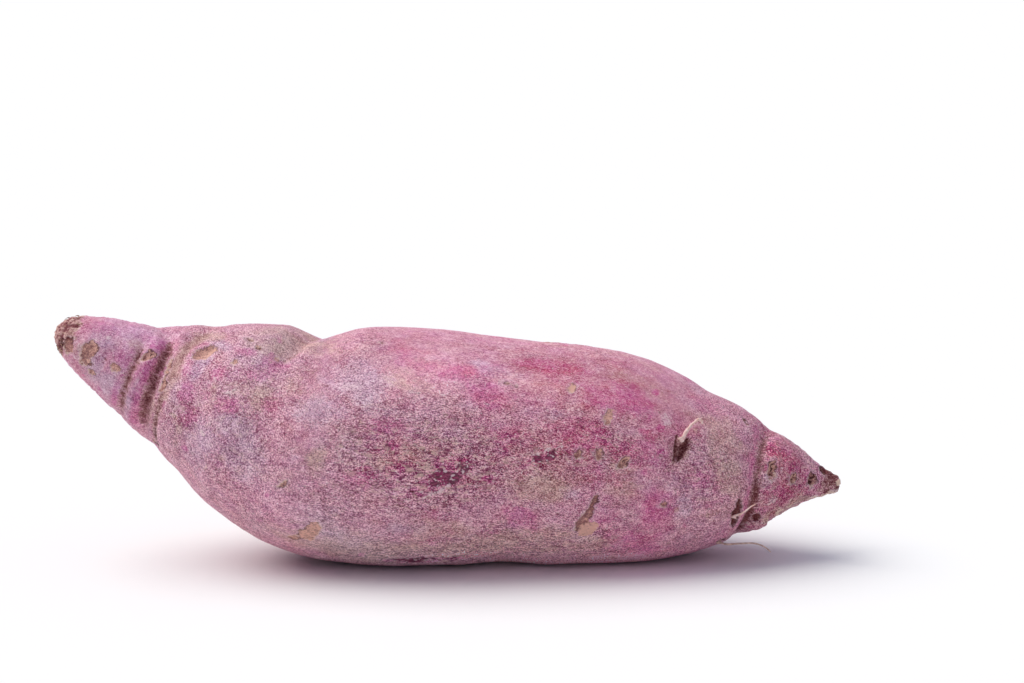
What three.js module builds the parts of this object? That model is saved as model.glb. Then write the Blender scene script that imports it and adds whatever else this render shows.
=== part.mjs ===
// A whole purple sweet potato: one storage root lying on its belly, with its dried rootlets.
// Millimetres, +Z up. +X runs from the torn stalk end to the root tip, -Y is the front.
// The origin is on the resting surface, under the middle of the root's box.
import * as THREE from "three";

// ---- Driving dimensions ----
const LENGTH = 185; // stalk end to root tip, measured level
const BELLY = 57; // thickness of the fullest section
const REST_CUT = 1.6; // how deep the belly is worn flat where it rests
const REST_BLEND = 0.3; // how gently that flat runs into the round belly
const CAP_STALK = 3.2; // how far the blunt stalk end is domed
const CAP_TIP = 2.2; // how far the root tip is domed
const ROOTLET_GAP = 0.32; // a rootlet starts this far off the skin

// ---- Mesh fineness ----
const AROUND = 44; // points in a section
const CAP_RINGS = 4; // sections in each domed end
const STEP_BODY = 3.1; // spacing of sections along the belly
const STEP_ENDS = 1.55; // spacing where the creases and the tip are
const ROOTLET_SIDES = 8;

// ---- The root's course and girth ----
// along: percent of LENGTH from the stalk end. The rest is in percent of BELLY:
// height and drift place the middle of the section above the surface and to the back,
// and up, down, front and back are its four half-widths.
const SECTIONS = [
  { along: 0, height: 99.5, drift: -1, up: 6, down: 6, front: 6.5, back: 6.5 },
  { along: 2, height: 97.5, drift: -1, up: 10, down: 8.5, front: 9.5, back: 9.5 },
  { along: 4, height: 94, drift: -1, up: 13.5, down: 11.5, front: 13, back: 12.5 },
  { along: 7, height: 89, drift: 0, up: 17, down: 15.5, front: 17, back: 16.5 },
  { along: 10, height: 84, drift: 0, up: 20.5, down: 19, front: 20, back: 19.5 },
  { along: 13, height: 79, drift: 1, up: 24.5, down: 23, front: 23.5, back: 23 },
  { along: 16, height: 74.5, drift: 1, up: 30, down: 26.5, front: 28, back: 27.5 },
  { along: 20, height: 68, drift: 1, up: 38, down: 31, front: 35.5, back: 34.5 },
  { along: 24, height: 62, drift: 0, up: 43, down: 38.5, front: 41.5, back: 40 },
  { along: 28, height: 57.5, drift: 0, up: 43, down: 43.5, front: 45.5, back: 44 },
  { along: 32, height: 54, drift: -1, up: 43, down: 47, front: 48, back: 46.5 },
  { along: 37, height: 51.5, drift: -1, up: 49, down: 48.5, front: 49.5, back: 49 },
  { along: 43, height: 50, drift: -1, up: 50.5, down: 49, front: 50, back: 50.5 },
  { along: 49, height: 49.5, drift: 0, up: 49.5, down: 49.5, front: 49.5, back: 50.5 },
  { along: 57, height: 48.5, drift: 1, up: 46.5, down: 46.5, front: 47.5, back: 49 },
  { along: 64, height: 46.5, drift: 1, up: 46, down: 46.5, front: 46.5, back: 47 },
  { along: 70, height: 44, drift: 2, up: 45.5, down: 44.5, front: 44.5, back: 44.5 },
  { along: 76, height: 41, drift: 2, up: 42, down: 41, front: 41, back: 40 },
  { along: 82, height: 38.5, drift: 1, up: 35, down: 34, front: 34.5, back: 33.5 },
  { along: 87, height: 37.5, drift: 0, up: 28.5, down: 26, front: 27.5, back: 26.5 },
  { along: 91, height: 37, drift: -1, up: 20, down: 18.5, front: 19.5, back: 19 },
  { along: 94.5, height: 36, drift: -1, up: 13.5, down: 12, front: 13, back: 12.5 },
  { along: 97, height: 35, drift: -2, up: 7.5, down: 7, front: 7.5, back: 7 },
  { along: 98.3, height: 34.5, drift: -2, up: 4.5, down: 4.5, front: 4.5, back: 4.5 },
  { along: 100, height: 34, drift: -2, up: 4, down: 4, front: 4, back: 4 },
];
const FIELDS = ["height", "drift", "up", "down", "front", "back"];

// ---- Creases that ring the root ----
// at: percent of LENGTH at eight angles, from the front up over the top and round the back.
// share: how much of depth the crease keeps at those angles.
const CREASES = [
  {
    name: "outer neck crease",
    at: [9.2, 9.8, 9.5, 9.2, 9.2, 9.8, 10.8, 10.3],
    share: [1, 0.7, 0.3, 0.2, 0.4, 0.5, 0.4, 0.9],
    depth: 0.7,
    width: 1.4,
  },
  {
    name: "deep neck crease",
    at: [12.2, 12.2, 10.8, 10.5, 11.8, 14.0, 15.8, 13.9],
    share: [1, 0.8, 0.6, 0.5, 0.8, 0.7, 0.4, 1],
    depth: 1.3,
    width: 1.6,
  },
  {
    name: "inner neck crease",
    at: [13.8, 13.6, 16.2, 16.6, 15.4, 16.2, 17.0, 15.2],
    share: [0.4, 0.8, 1, 0.7, 0.5, 0.4, 0.2, 0.5],
    depth: 0.9,
    width: 1.8,
  },
  {
    name: "saddle behind the shoulder",
    at: [21, 24.5, 30.5, 33, 34, 33, 28, 23],
    share: [0.1, 0.8, 0.8, 0.9, 0.4, 0, 0, 0],
    depth: 1.0,
    width: 5.0,
  },
  {
    name: "tip crease",
    at: [88.5, 88.8, 90.6, 90.2, 89.2, 88.0, 86.9, 87.8],
    share: [1, 0.9, 0.9, 0.6, 0.5, 0.7, 0.9, 1],
    depth: 1.0,
    width: 1.5,
  },
];

// ---- Hollows and swellings in the skin ----
// angle in degrees: 0 is the front, 90 the top, 180 the back and 270 the underside.
// long and wide are half-sizes along and round the root, and turn tilts the long one upwards.
// A negative depth is a swelling.
const HOLLOWS = [
  { name: "shoulder swelling", along: 34.5, angle: 58, long: 9, wide: 8, turn: -30, depth: -0.8 },
  { name: "oval eye", along: 16.4, angle: 49, long: 2.6, wide: 1.6, turn: 25, depth: 0.9 },
  { name: "slanting eye", along: 78.3, angle: 25, long: 2.8, wide: 1.3, turn: 62, depth: 1.3 },
  { name: "gash", along: 67.9, angle: 330, long: 5.4, wide: 1.8, turn: 58, depth: 0.9 },
  { name: "broken skin", along: 49.8, angle: 352, long: 5.6, wide: 2.4, turn: 28, depth: 0.6 },
  { name: "front valley", along: 62, angle: 22, long: 22, wide: 7, turn: -6, depth: 0.7 },
  { name: "upper swelling", along: 64, angle: 62, long: 16, wide: 10, turn: 0, depth: -0.7 },
  { name: "left swelling", along: 38, angle: 30, long: 16, wide: 12, turn: 10, depth: -0.6 },
  { name: "back hollow", along: 55, angle: 190, long: 20, wide: 11, turn: 12, depth: 1.0 },
  { name: "back swelling", along: 36, angle: 160, long: 15, wide: 12, turn: 0, depth: -0.9 },
  { name: "back eye", along: 72, angle: 168, long: 3.2, wide: 1.8, turn: 60, depth: 1.2 },
  { name: "back neck eye", along: 22, angle: 200, long: 3, wide: 1.7, turn: 75, depth: 0.9 },
  { name: "scar by tip", along: 86.4, angle: 331, long: 2.6, wide: 1.2, turn: 66, depth: 1.1 },
  { name: "hollow under tip", along: 88.6, angle: 312, long: 2, wide: 2.2, turn: 0, depth: 0.8 },
];

// ---- Rootlets: dried, hair-thin side roots ----
// Each starts on the skin and passes through points given as [outwards, towards the tip, round upwards].
const ROOTLETS = [
  {
    name: "rootlet_in_slanting_eye",
    along: 78.7,
    angle: 31,
    radius: 0.34,
    points: [[0, 0, 0], [0.7, 0.4, 1.2], [1.1, 1.0, 2.6], [1.4, 1.9, 4.0], [2.0, 3.2, 5.2]],
  },
  {
    name: "rootlet_in_tip_scar",
    along: 86.3,
    angle: 335,
    radius: 0.28,
    points: [[0, 0, 0], [0.5, 0.9, 1.0], [0.8, 2.2, 2.2], [0.9, 3.6, 3.7], [1.2, 5.0, 5.2]],
  },
  {
    name: "rootlet_trailing",
    along: 85,
    angle: 304,
    radius: 0.26,
    points: [[0, 0, 0], [0.5, 1.6, 0.3], [0.1, 5.2, 0.8], [0.1, 8.8, 0.9], [0.8, 11, 0.5], [1.6, 12.2, 0]],
  },
];

// ---- Helpers ----
const toLength = (percent) => (percent / 100 - 0.5) * LENGTH;
const toGirth = (percent) => (percent / 100) * BELLY;

const sectionTable = new THREE.CubicInterpolant(
  SECTIONS.map((row) => row.along),
  SECTIONS.flatMap((row) => FIELDS.map((field) => row[field])),
  FIELDS.length,
);

// The section's middle and half-widths at a place along the root, in millimetres.
function section(along) {
  const held = THREE.MathUtils.clamp(along, 0, 100);
  const values = Array.from(sectionTable.evaluate(held), toGirth);
  const [height, drift, up, down, front, back] = values;
  return { middle: new THREE.Vector3(toLength(along), drift, height), up, down, front, back };
}

// Unit vectors of the section's plane: forward runs along the root, and outwards is at the given angle.
function directions(along, angle) {
  const reach = 0.6;
  const forward = section(along + reach).middle.sub(section(along - reach).middle).normalize();
  const back = new THREE.Vector3(0, 1, 0).addScaledVector(forward, -forward.y).normalize();
  const up = new THREE.Vector3().crossVectors(forward, back);
  const outwards = new THREE.Vector3()
    .addScaledVector(back, -Math.cos(angle))
    .addScaledVector(up, Math.sin(angle));
  const round = new THREE.Vector3().crossVectors(outwards, forward);
  return { forward, outwards, round };
}

// A closed curve of values at equal angles, read at any angle.
function aroundRing(values, angle) {
  const turn = THREE.MathUtils.euclideanModulo(angle / (2 * Math.PI), 1) * values.length;
  const first = Math.floor(turn);
  const t = turn - first;
  const [a, b, c, d] = [-1, 0, 1, 2].map((k) => values[(first + k + values.length) % values.length]);
  return b + 0.5 * t * (c - a + t * (2 * a - 5 * b + 4 * c - d + t * (3 * (b - c) + d - a)));
}

const bell = (x) => Math.exp(-x * x);

// How far the creases and hollows draw the skin in at a place, in millimetres.
function drawnIn(along, angle, girth) {
  let depth = 0;
  for (const crease of CREASES) {
    const away = ((along - aroundRing(crease.at, angle)) / 100) * LENGTH;
    depth += crease.depth * aroundRing(crease.share, angle) * bell(away / crease.width);
  }
  for (const hollow of HOLLOWS) {
    const alongAway = ((along - hollow.along) / 100) * LENGTH;
    const turnAway = angle - THREE.MathUtils.degToRad(hollow.angle);
    const roundAway = Math.atan2(Math.sin(turnAway), Math.cos(turnAway)) * girth;
    const tilt = THREE.MathUtils.degToRad(hollow.turn);
    const a = alongAway * Math.cos(tilt) + roundAway * Math.sin(tilt);
    const b = roundAway * Math.cos(tilt) - alongAway * Math.sin(tilt);
    depth += hollow.depth * bell(a / hollow.long) * bell(b / hollow.wide);
  }
  return depth;
}

// Heights below the surface are pressed flat on to it, with a soft edge.
function pressedFlat(height) {
  if (height > REST_BLEND) return height;
  if (height < -REST_BLEND) return 0;
  return (height + REST_BLEND) ** 2 / (4 * REST_BLEND);
}

// A point of the skin. The ends are domed by shrinking the section towards the root's ends.
function skinPoint(along, angle, dome = 1) {
  const { middle, up, down, front, back } = section(along);
  const { outwards } = directions(along, angle);
  const side = Math.cos(angle) > 0 ? front : back;
  const rise = Math.sin(angle) > 0 ? up : down;
  const girth = 1 / Math.hypot(Math.cos(angle) / side, Math.sin(angle) / rise);
  const radius = (girth - drawnIn(along, angle, girth)) * dome;
  const point = middle.addScaledVector(outwards, radius);
  point.z = pressedFlat(point.z - REST_CUT);
  return point;
}

// Places along the root where sections stand: closer at the ends than at the belly.
function sectionPlaces() {
  const places = [];
  const endsReach = 0.2;
  let x = CAP_STALK;
  while (x < LENGTH - CAP_TIP) {
    places.push(x);
    const share = x / LENGTH;
    const fromEnd = Math.min(share, 1 - share) / endsReach;
    x += THREE.MathUtils.lerp(STEP_ENDS, STEP_BODY, THREE.MathUtils.smoothstep(fromEnd, 0.85, 1.6));
  }
  return places;
}

// A closed surface through rings of points, with a point at each end.
function loft(start, rings, end) {
  const count = rings[0].length;
  const corners = [start, ...rings.flat(), end];
  const last = corners.length - 1;
  const faces = [];
  const at = (ring, k) => 1 + ring * count + (k % count);
  for (let k = 0; k < count; k++) {
    faces.push(0, at(0, k), at(0, k + 1));
    faces.push(last, at(rings.length - 1, k + 1), at(rings.length - 1, k));
    for (let ring = 0; ring < rings.length - 1; ring++) {
      faces.push(at(ring, k), at(ring + 1, k), at(ring + 1, k + 1));
      faces.push(at(ring, k), at(ring + 1, k + 1), at(ring, k + 1));
    }
  }
  const geometry = new THREE.BufferGeometry().setFromPoints(corners);
  geometry.setIndex(faces);
  geometry.computeVertexNormals();
  return geometry;
}

function storageRoot() {
  const percent = (x) => (x / LENGTH) * 100;
  const angles = Array.from({ length: AROUND }, (_, k) => (k / AROUND) * 2 * Math.PI);
  const ringAt = (along, dome) => angles.map((angle) => skinPoint(along, angle, dome));
  const rings = [];
  for (let k = 1; k <= CAP_RINGS; k++) {
    const lift = (k / (CAP_RINGS + 1)) * (Math.PI / 2);
    rings.push(ringAt(percent(CAP_STALK * (1 - Math.cos(lift))), Math.sin(lift)));
  }
  rings.push(...sectionPlaces().map((x) => ringAt(percent(x), 1)));
  for (let k = CAP_RINGS; k >= 1; k--) {
    const lift = (k / (CAP_RINGS + 1)) * (Math.PI / 2);
    rings.push(ringAt(percent(LENGTH - CAP_TIP * (1 - Math.cos(lift))), Math.sin(lift)));
  }
  return loft(skinPoint(0, 0, 0), rings, skinPoint(100, 0, 0));
}

// A hair root: round, thinning to a third of its base at the free end.
function rootlet({ along, angle, radius, points }) {
  const base = skinPoint(along, THREE.MathUtils.degToRad(angle));
  const { forward, outwards, round } = directions(along, THREE.MathUtils.degToRad(angle));
  const path = new THREE.CatmullRomCurve3(
    points.map(([out, on, up]) =>
      base
        .clone()
        .addScaledVector(outwards, out + ROOTLET_GAP)
        .addScaledVector(forward, on)
        .addScaledVector(round, up),
    ),
  );
  const steps = 12;
  const frames = path.computeFrenetFrames(steps, false);
  const rings = Array.from({ length: steps + 1 }, (_, k) => {
    const thin = radius * THREE.MathUtils.lerp(1, 0.35, k / steps);
    return Array.from({ length: ROOTLET_SIDES }, (_, side) => {
      const turn = (side / ROOTLET_SIDES) * 2 * Math.PI;
      return path
        .getPointAt(k / steps)
        .addScaledVector(frames.normals[k], Math.cos(turn) * thin)
        .addScaledVector(frames.binormals[k], -Math.sin(turn) * thin);
    });
  });
  return loft(path.getPointAt(0), rings, path.getPointAt(1));
}

// ---- Materials ----
const skin = new THREE.MeshStandardMaterial({ color: 0xa8688c, roughness: 0.7, metalness: 0 });
const driedRoot = new THREE.MeshStandardMaterial({ color: 0xc9a283, roughness: 0.85, metalness: 0 });

// ---- Assembly ----
const sweetPotato = new THREE.Group();
function place(name, geometry, material) {
  const mesh = new THREE.Mesh(geometry, material);
  mesh.name = name;
  sweetPotato.add(mesh);
}
place("storage_root", storageRoot(), skin);
for (const hair of ROOTLETS) place(hair.name, rootlet(hair), driedRoot);

// The origin goes under the middle of the box, on the surface.
const box = new THREE.Box3().setFromObject(sweetPotato);
const middle = box.getCenter(new THREE.Vector3());
sweetPotato.children.forEach((mesh) => mesh.geometry.translate(-middle.x, -middle.y, 0));

export default sweetPotato;
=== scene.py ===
# %% [markdown]
# # A purple sweet potato
# A sweet potato is a storage root: a side root that the plant fattens with starch. It hung from the vine
# by its bent neck, and it ends in a thin root tip. Its skin is dusty purple, finely cracked by growth, and
# marked with eyes, scars and a few dried hair roots.
# The solid from the CAD model gives the true size and the main form. Everything finer, down to about half
# a millimetre, is made here as real surface. Only the grain below that is left to the material.

# %% Load the solid model as a fixed frame
import math

import bmesh
import bpy
import numpy as np
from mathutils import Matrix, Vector
from mathutils.bvhtree import BVHTree


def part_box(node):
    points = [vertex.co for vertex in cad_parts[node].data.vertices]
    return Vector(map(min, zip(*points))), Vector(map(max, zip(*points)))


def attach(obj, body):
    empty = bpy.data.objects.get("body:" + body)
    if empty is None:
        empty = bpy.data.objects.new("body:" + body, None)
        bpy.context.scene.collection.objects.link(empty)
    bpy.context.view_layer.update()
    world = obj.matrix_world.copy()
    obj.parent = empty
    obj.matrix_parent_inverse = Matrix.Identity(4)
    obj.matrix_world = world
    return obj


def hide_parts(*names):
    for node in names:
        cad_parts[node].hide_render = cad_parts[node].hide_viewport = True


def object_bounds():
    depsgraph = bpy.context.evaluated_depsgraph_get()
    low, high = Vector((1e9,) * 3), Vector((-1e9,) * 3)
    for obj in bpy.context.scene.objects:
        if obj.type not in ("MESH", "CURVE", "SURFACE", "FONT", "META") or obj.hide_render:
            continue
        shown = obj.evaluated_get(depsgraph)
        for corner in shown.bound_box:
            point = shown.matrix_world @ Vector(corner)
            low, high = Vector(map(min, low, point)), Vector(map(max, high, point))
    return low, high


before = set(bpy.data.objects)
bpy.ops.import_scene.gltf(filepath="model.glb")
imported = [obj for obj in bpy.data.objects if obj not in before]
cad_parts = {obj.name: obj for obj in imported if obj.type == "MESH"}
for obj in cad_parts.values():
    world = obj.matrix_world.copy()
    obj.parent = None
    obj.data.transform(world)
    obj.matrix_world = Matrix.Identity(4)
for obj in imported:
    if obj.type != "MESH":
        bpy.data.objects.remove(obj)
cad_low, cad_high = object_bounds()
MM = 0.001
print("the solid measures", [round((b - a) / MM, 1) for a, b in zip(cad_low, cad_high)], "mm")

# %% [markdown]
# ## The course of the root
# A root is easiest to think of as a line with a girth round it. The line starts high at the stalk end,
# comes down through the neck to the belly, and runs nearly level to the tip. A place on the skin is then two
# numbers: how far along the line it is, in percent, and the angle round it, where 0 is the front, 90 the
# top, 180 the back and 270 the underside. Every mark below is placed that way, as a grower would describe it.

# %% The centre line, as shares of the solid's box
root_low, root_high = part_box("storage_root")
LENGTH = root_high.x - root_low.x
HEIGHT = root_high.z - root_low.z
COURSE = [
    (0, 0.930), (7, 0.829), (16, 0.690), (24, 0.569), (32, 0.493), (43, 0.454),
    (57, 0.440), (70, 0.396), (82, 0.343), (91, 0.329), (100, 0.300),
]


def smooth_line(knots, places, blur=2.0):
    """A polyline's values at some places, with its corners rounded over about blur percent."""
    fine = np.linspace(-20, 120, 1401)
    values = np.interp(fine, *zip(*knots))
    for side, (near, far) in ((fine < 0, knots[:2]), (fine > 100, knots[:-3:-1])):
        slope = (far[1] - near[1]) / (far[0] - near[0])
        values[side] = near[1] + slope * (fine[side] - near[0])
    kernel = np.exp(-((np.arange(-60, 61) * 0.1 / blur) ** 2))
    values = np.convolve(np.pad(values, 60, mode="edge"), kernel / kernel.sum(), mode="valid")
    return np.interp(places, fine, values)


def centre(along):
    """Points of the centre line at some places along it, in metres."""
    along = np.asarray(along, float)
    x = root_low.x + LENGTH * along / 100
    y = np.full_like(x, (root_low.y + root_high.y) / 2)
    z = root_low.z + HEIGHT * smooth_line(COURSE, along)
    return np.stack([x, y, z], -1)


def directions(along, angle):
    """Unit vectors at a place: on along the root, out from its line, and round to larger angles."""
    on = centre(np.asarray(along) + 0.5) - centre(np.asarray(along) - 0.5)
    on /= np.linalg.norm(on, axis=-1, keepdims=True)
    back = np.array([0.0, 1.0, 0.0]) - on * on[..., 1:2]
    back /= np.linalg.norm(back, axis=-1, keepdims=True)
    up = np.cross(on, back)
    a = np.radians(angle)[..., None]
    return on, up * np.sin(a) - back * np.cos(a), up * np.cos(a) + back * np.sin(a)


print("the neck rises", round((centre(0)[2] - centre(50)[2]) / MM, 1), "mm above the belly's centre line")

# %% [markdown]
# ## A smooth solid to measure from
# The solid is made of flat facets. Subdividing it twice rounds them off, as sanding would, and gives a
# surface that rays can be cast at. The copy is only a mould: it is measured and thrown away.

# %% Round off a copy of the solid
def smooth_mould(node, levels=2):
    """A ray-casting tree of the node's surface after Catmull-Clark subdivision."""
    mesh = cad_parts[node].data.copy()
    work = bmesh.new()
    work.from_mesh(mesh)
    bmesh.ops.remove_doubles(work, verts=work.verts, dist=1e-6)
    bmesh.ops.join_triangles(
        work, faces=work.faces, angle_face_threshold=math.pi, angle_shape_threshold=math.pi
    )
    work.to_mesh(mesh)
    work.free()
    mould = bpy.data.objects.new("mould", mesh)
    bpy.context.scene.collection.objects.link(mould)
    rounding = mould.modifiers.new("rounding", "SUBSURF")
    rounding.levels = levels
    tree = BVHTree.FromObject(mould, bpy.context.evaluated_depsgraph_get())
    bpy.data.objects.remove(mould)
    bpy.data.meshes.remove(mesh)
    return tree


mould = smooth_mould("storage_root")
print("mould ready")

# %% [markdown]
# ## The skin as a fine net
# The skin could be remeshed with even little squares, but then nothing would follow the root. A net of rings
# across it and threads along it is kinder: its squares lie the way the fibres run, it can be drawn finer at
# the wrinkled ends, and it unrolls flat like a label off a bottle, which is good for baking textures.
# The last rings at each end fan out from one point, as the ribs of an umbrella do, to close the dome.

# %% Lay the rings of the net
AROUND = 256
STALK_HUB, TIP_HUB = 2.9, 98.2
FINE, COARSE = 0.37 * MM, 0.61 * MM
DOME_RINGS = 15


def ring_places():
    """Where the rings stand along the root, in percent: closer together in the neck and at the tip."""
    places, x = [], STALK_HUB
    while x < TIP_HUB:
        places.append(x)
        share = min(max((min(x, 100 - x) - 15) / 12, 0), 1)
        step = FINE + (COARSE - FINE) * share * share * (3 - 2 * share)
        x += 100 * step / LENGTH
    return np.array(places)


body = ring_places()
lean = np.linspace(0, np.pi / 2, DOME_RINGS + 1)[1:-1]
ring_along = np.concatenate([np.full(lean.size, STALK_HUB), body, np.full(lean.size, TIP_HUB)])
ring_lean = np.concatenate([-lean[::-1], np.zeros(body.size), lean])
angles = np.arange(AROUND) * 360 / AROUND - 90
print(ring_along.size, "rings of", AROUND, "threads")

# %% Cast the net on to the mould
def cast(along, angle, leaning):
    """Where rays from the centre line meet the mould."""
    on, out, _ = directions(along, angle)
    aim = out * np.cos(leaning)[..., None] + on * np.sin(leaning)[..., None]
    start = centre(along)
    found = np.empty_like(aim)
    for k in np.ndindex(aim.shape[:-1]):
        hit = mould.ray_cast(Vector(start[k]), Vector(aim[k]))[0]
        found[k] = hit if hit is not None else start[k]
    return found


grid_along, grid_angle = np.meshgrid(ring_along, angles, indexing="ij")
grid_lean = np.repeat(ring_lean[:, None], AROUND, axis=1)
skin = cast(grid_along, grid_angle, grid_lean)
stalk_pole = cast(np.array([STALK_HUB]), np.array([0.0]), np.array([-np.pi / 2]))[0]
tip_pole = cast(np.array([TIP_HUB]), np.array([0.0]), np.array([np.pi / 2]))[0]
print("net cast,", 2 * AROUND * ring_along.size, "triangles; belly is",
      round((skin[..., 1].max() - skin[..., 1].min()) / MM, 1), "mm deep")

# %% Normals of the net
def net_normals(points):
    """Outward unit normals of the net, from its threads and rings."""
    across = np.roll(points, -1, axis=1) - np.roll(points, 1, axis=1)
    lengthwise = np.empty_like(points)
    lengthwise[1:-1] = points[2:] - points[:-2]
    lengthwise[0] = points[1] - stalk_pole
    lengthwise[-1] = tip_pole - points[-2]
    normal = np.cross(lengthwise, across)
    return normal / np.maximum(np.linalg.norm(normal, axis=-1, keepdims=True), 1e-12)


normals = net_normals(skin)
on_grid, out_grid, round_grid = directions(grid_along, grid_angle)
if (normals * out_grid).sum() < 0:
    normals = -normals
print("normals point outwards:", bool((normals * out_grid).sum() > 0))

# %% [markdown]
# ## Working sheets
# The net has one knot where each ring crosses each thread. Every mark is drawn on sheets the same size as
# the net. The height sheet says how far the skin stands out or sinks in. The stain sheets say how much of
# each stain lies there, and the mark sheets hold what crisp marks and broad shifts of colour need.
# The grain sheet gives each knot's place in mm along and across the root, so that patterns can follow the
# fibres.

# %% Sheets for height, stains and marks
STAINS = ("dark", "cork", "tan", "magenta", "lilac", "pale", "coarse", "pitted")
FAR_OFF = 3
MARKS = {
    "edge": FAR_OFF, "slit": FAR_OFF, "brown": 0, "outline": 0, "shade": 0,
    "light": 0, "warm": 0, "strong": 0, "drawn": 0,
}
height = np.zeros(skin.shape[:2])
stains = {name: np.zeros_like(height) for name in STAINS}
marks = {name: np.full_like(height, start) for name, start in MARKS.items()}
print(1 + len(stains) + len(marks), "sheets of", height.size, "knots")

# %% The grain sheet
fine_places = np.linspace(-5, 105, 1101)
run = np.linalg.norm(np.diff(centre(fine_places), axis=0), axis=1).cumsum() / MM
offset = (skin - centre(grid_along)) / MM
upward = np.sin(np.radians(grid_angle))
back_grid = round_grid * upward[..., None] - out_grid * np.cos(np.radians(grid_angle))[..., None]
grain = np.stack([
    np.interp(grid_along, fine_places[1:], run) + (offset * on_grid).sum(-1),
    (offset * back_grid).sum(-1),
    (offset * np.cross(on_grid, back_grid)).sum(-1),
], -1)
print("the root's line is", round(run[-1] * 100 / 110, 1), "mm long, measured along its bend")

# %% [markdown]
# ## Helpers for soft shapes
# Most marks are built from three soft shapes. A ramp goes from nothing to all, a hill rises and falls again,
# and noise wanders. The noise is worked out from whole numbers, so it is the same on every run.

# %% Helpers: ramps and hills
def ramp(value, low, high):
    """0 at low and 1 at high, with an eased run between; low may be the larger."""
    share = np.clip((value - low) / (high - low), 0, 1)
    return share * share * (3 - 2 * share)


def hill(value, middle, breadth):
    """1 where the value is middle, falling away like a bell to about a third one breadth off."""
    return np.exp(-(((value - middle) / breadth) ** 2))


print("half way up a ramp:", ramp(0.5, 0, 1), "and one breadth down a hill:", round(float(hill(1, 0, 1)), 2))

# %% Helpers: smooth noise
# Large whole numbers that stir a place into a number with no pattern.
STIR = (73856093, 19349663, 83492791, 2654435, 1274126177)


def noise(points, size, seed=0):
    """Numbers from -1 to 1 that change smoothly over about size mm, and come out the same every run."""
    scaled = points / size + seed * 7.31
    cell = np.floor(scaled).astype(np.int64)
    part = scaled - cell
    part = part * part * (3 - 2 * part)
    total = np.zeros(points.shape[:-1])
    for corner in np.ndindex(2, 2, 2):
        x, y, z = np.moveaxis(cell + corner, -1, 0)
        mixed = (x * STIR[0]) ^ (y * STIR[1]) ^ (z * STIR[2]) ^ (seed * STIR[3] + 97)
        mixed = ((mixed ^ (mixed >> 13)) * STIR[4]) & 0xFFFFFFFF
        value = ((mixed ^ (mixed >> 15)) & 0xFFFF) / 32767.5 - 1
        total += value * np.prod(np.where(corner, part, 1 - part), axis=-1)
    return total


def layered(points, size, layers=3, seed=0):
    """Noise with finer and weaker noise on top of it."""
    parts = [noise(points, size / 2**k, seed + k) / 2**k for k in range(layers)]
    return sum(parts) / (2 - 2.0 ** (1 - layers))


print("noise spans", [round(float(v), 2) for v in np.percentile(layered(grain, 5), [2, 50, 98])])

# %% [markdown]
# ## Growth: lumps and wrinkles
# Roots swell unevenly, pushing soil aside, so nothing on them is quite round. The skin is stretched as the
# flesh grows and then shrinks a little after harvest. Along the belly that leaves fine wrinkles that run
# lengthwise. Where the root bends and narrows, it leaves folds that run round it.

# %% Lumps
height += 0.42 * layered(grain, 15, 2, seed=3) + 0.16 * layered(grain, 5.5, 2, seed=5)
height += 0.05 * layered(grain, 1.8, 2, seed=9)
print("lumps stand", np.round(np.percentile(height, [1, 99]), 2), "mm in and out")

# %% Wrinkles along the belly and folds round the neck and tip
belly = ramp(grid_along, 24, 38) * ramp(grid_along, 90, 74)
patchy = ramp(layered(grain, 22, 2, seed=21), -0.35, 0.45)
ridge = 1 - np.abs(layered(grain / [7.5, 1, 1], 1.25, 2, seed=11))
height -= 0.15 * belly * patchy * ramp(ridge, 0.82, 1.0)
narrow = ramp(grid_along, 22, 14) + 0.8 * ramp(grid_along, 85, 90)
fold = 1 - np.abs(layered(grain / [1, 4.5, 4.5], 1.7, 2, seed=13))
height -= 0.16 * narrow * ramp(fold, 0.80, 1.0)
print("wrinkles on", f"{(belly > 0.5).mean():.0%}", "of the knots, folds on", f"{(narrow > 0.4).mean():.0%}")

# %% [markdown]
# ## Tools for marks
# Two tools find the knots that a mark covers. A stamp is a rough oval on the skin, for patches and eyes.
# A trail is a line drawn over the skin, for creases, cracks and scratches. Both only say how far each knot
# is from the mark. Two more tools write down what the mark does there: one lays a soft stain, and the other
# carves a mark with a crisp edge.

# %% Tool: places on the skin
def spot(along, angle):
    """A place on the skin, with unit vectors on along the root, round it and out of the skin."""
    place = cast(np.array([along * 1.0]), np.array([angle * 1.0]), np.zeros(1))[0]
    out = normals.reshape(-1, 3)[((skin - place) ** 2).sum(-1).argmin()]
    on = directions(np.array([along * 1.0]), np.array([angle * 1.0]))[0][0]
    on = on - out * (on @ out)
    on /= np.linalg.norm(on)
    return place, on, np.cross(out, on), out


def stamp(along, angle, long, wide, turn=0, ragged=0.25, seed=1):
    """Knots near an oval, and how far each is from its middle, where 1 is its edge."""
    place, on, across, out = spot(along, angle)
    away = (skin - place) / MM
    near = ((away**2).sum(-1) < (2.4 * max(long, wide)) ** 2) & (normals @ out > 0.1)
    a, b = away[near] @ on, away[near] @ across
    tilt = math.radians(turn)
    x = (a * math.cos(tilt) + b * math.sin(tilt)) / long
    y = (b * math.cos(tilt) - a * math.sin(tilt)) / wide
    wander = 1 + ragged * layered(grain[near], 0.7 * (long + wide), 3, seed)
    return near, np.hypot(x, y) * wander, x, y


print("the middle of the front is at", [round(float(v) / MM, 1) for v in spot(50, 0)[0]], "mm")

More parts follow.
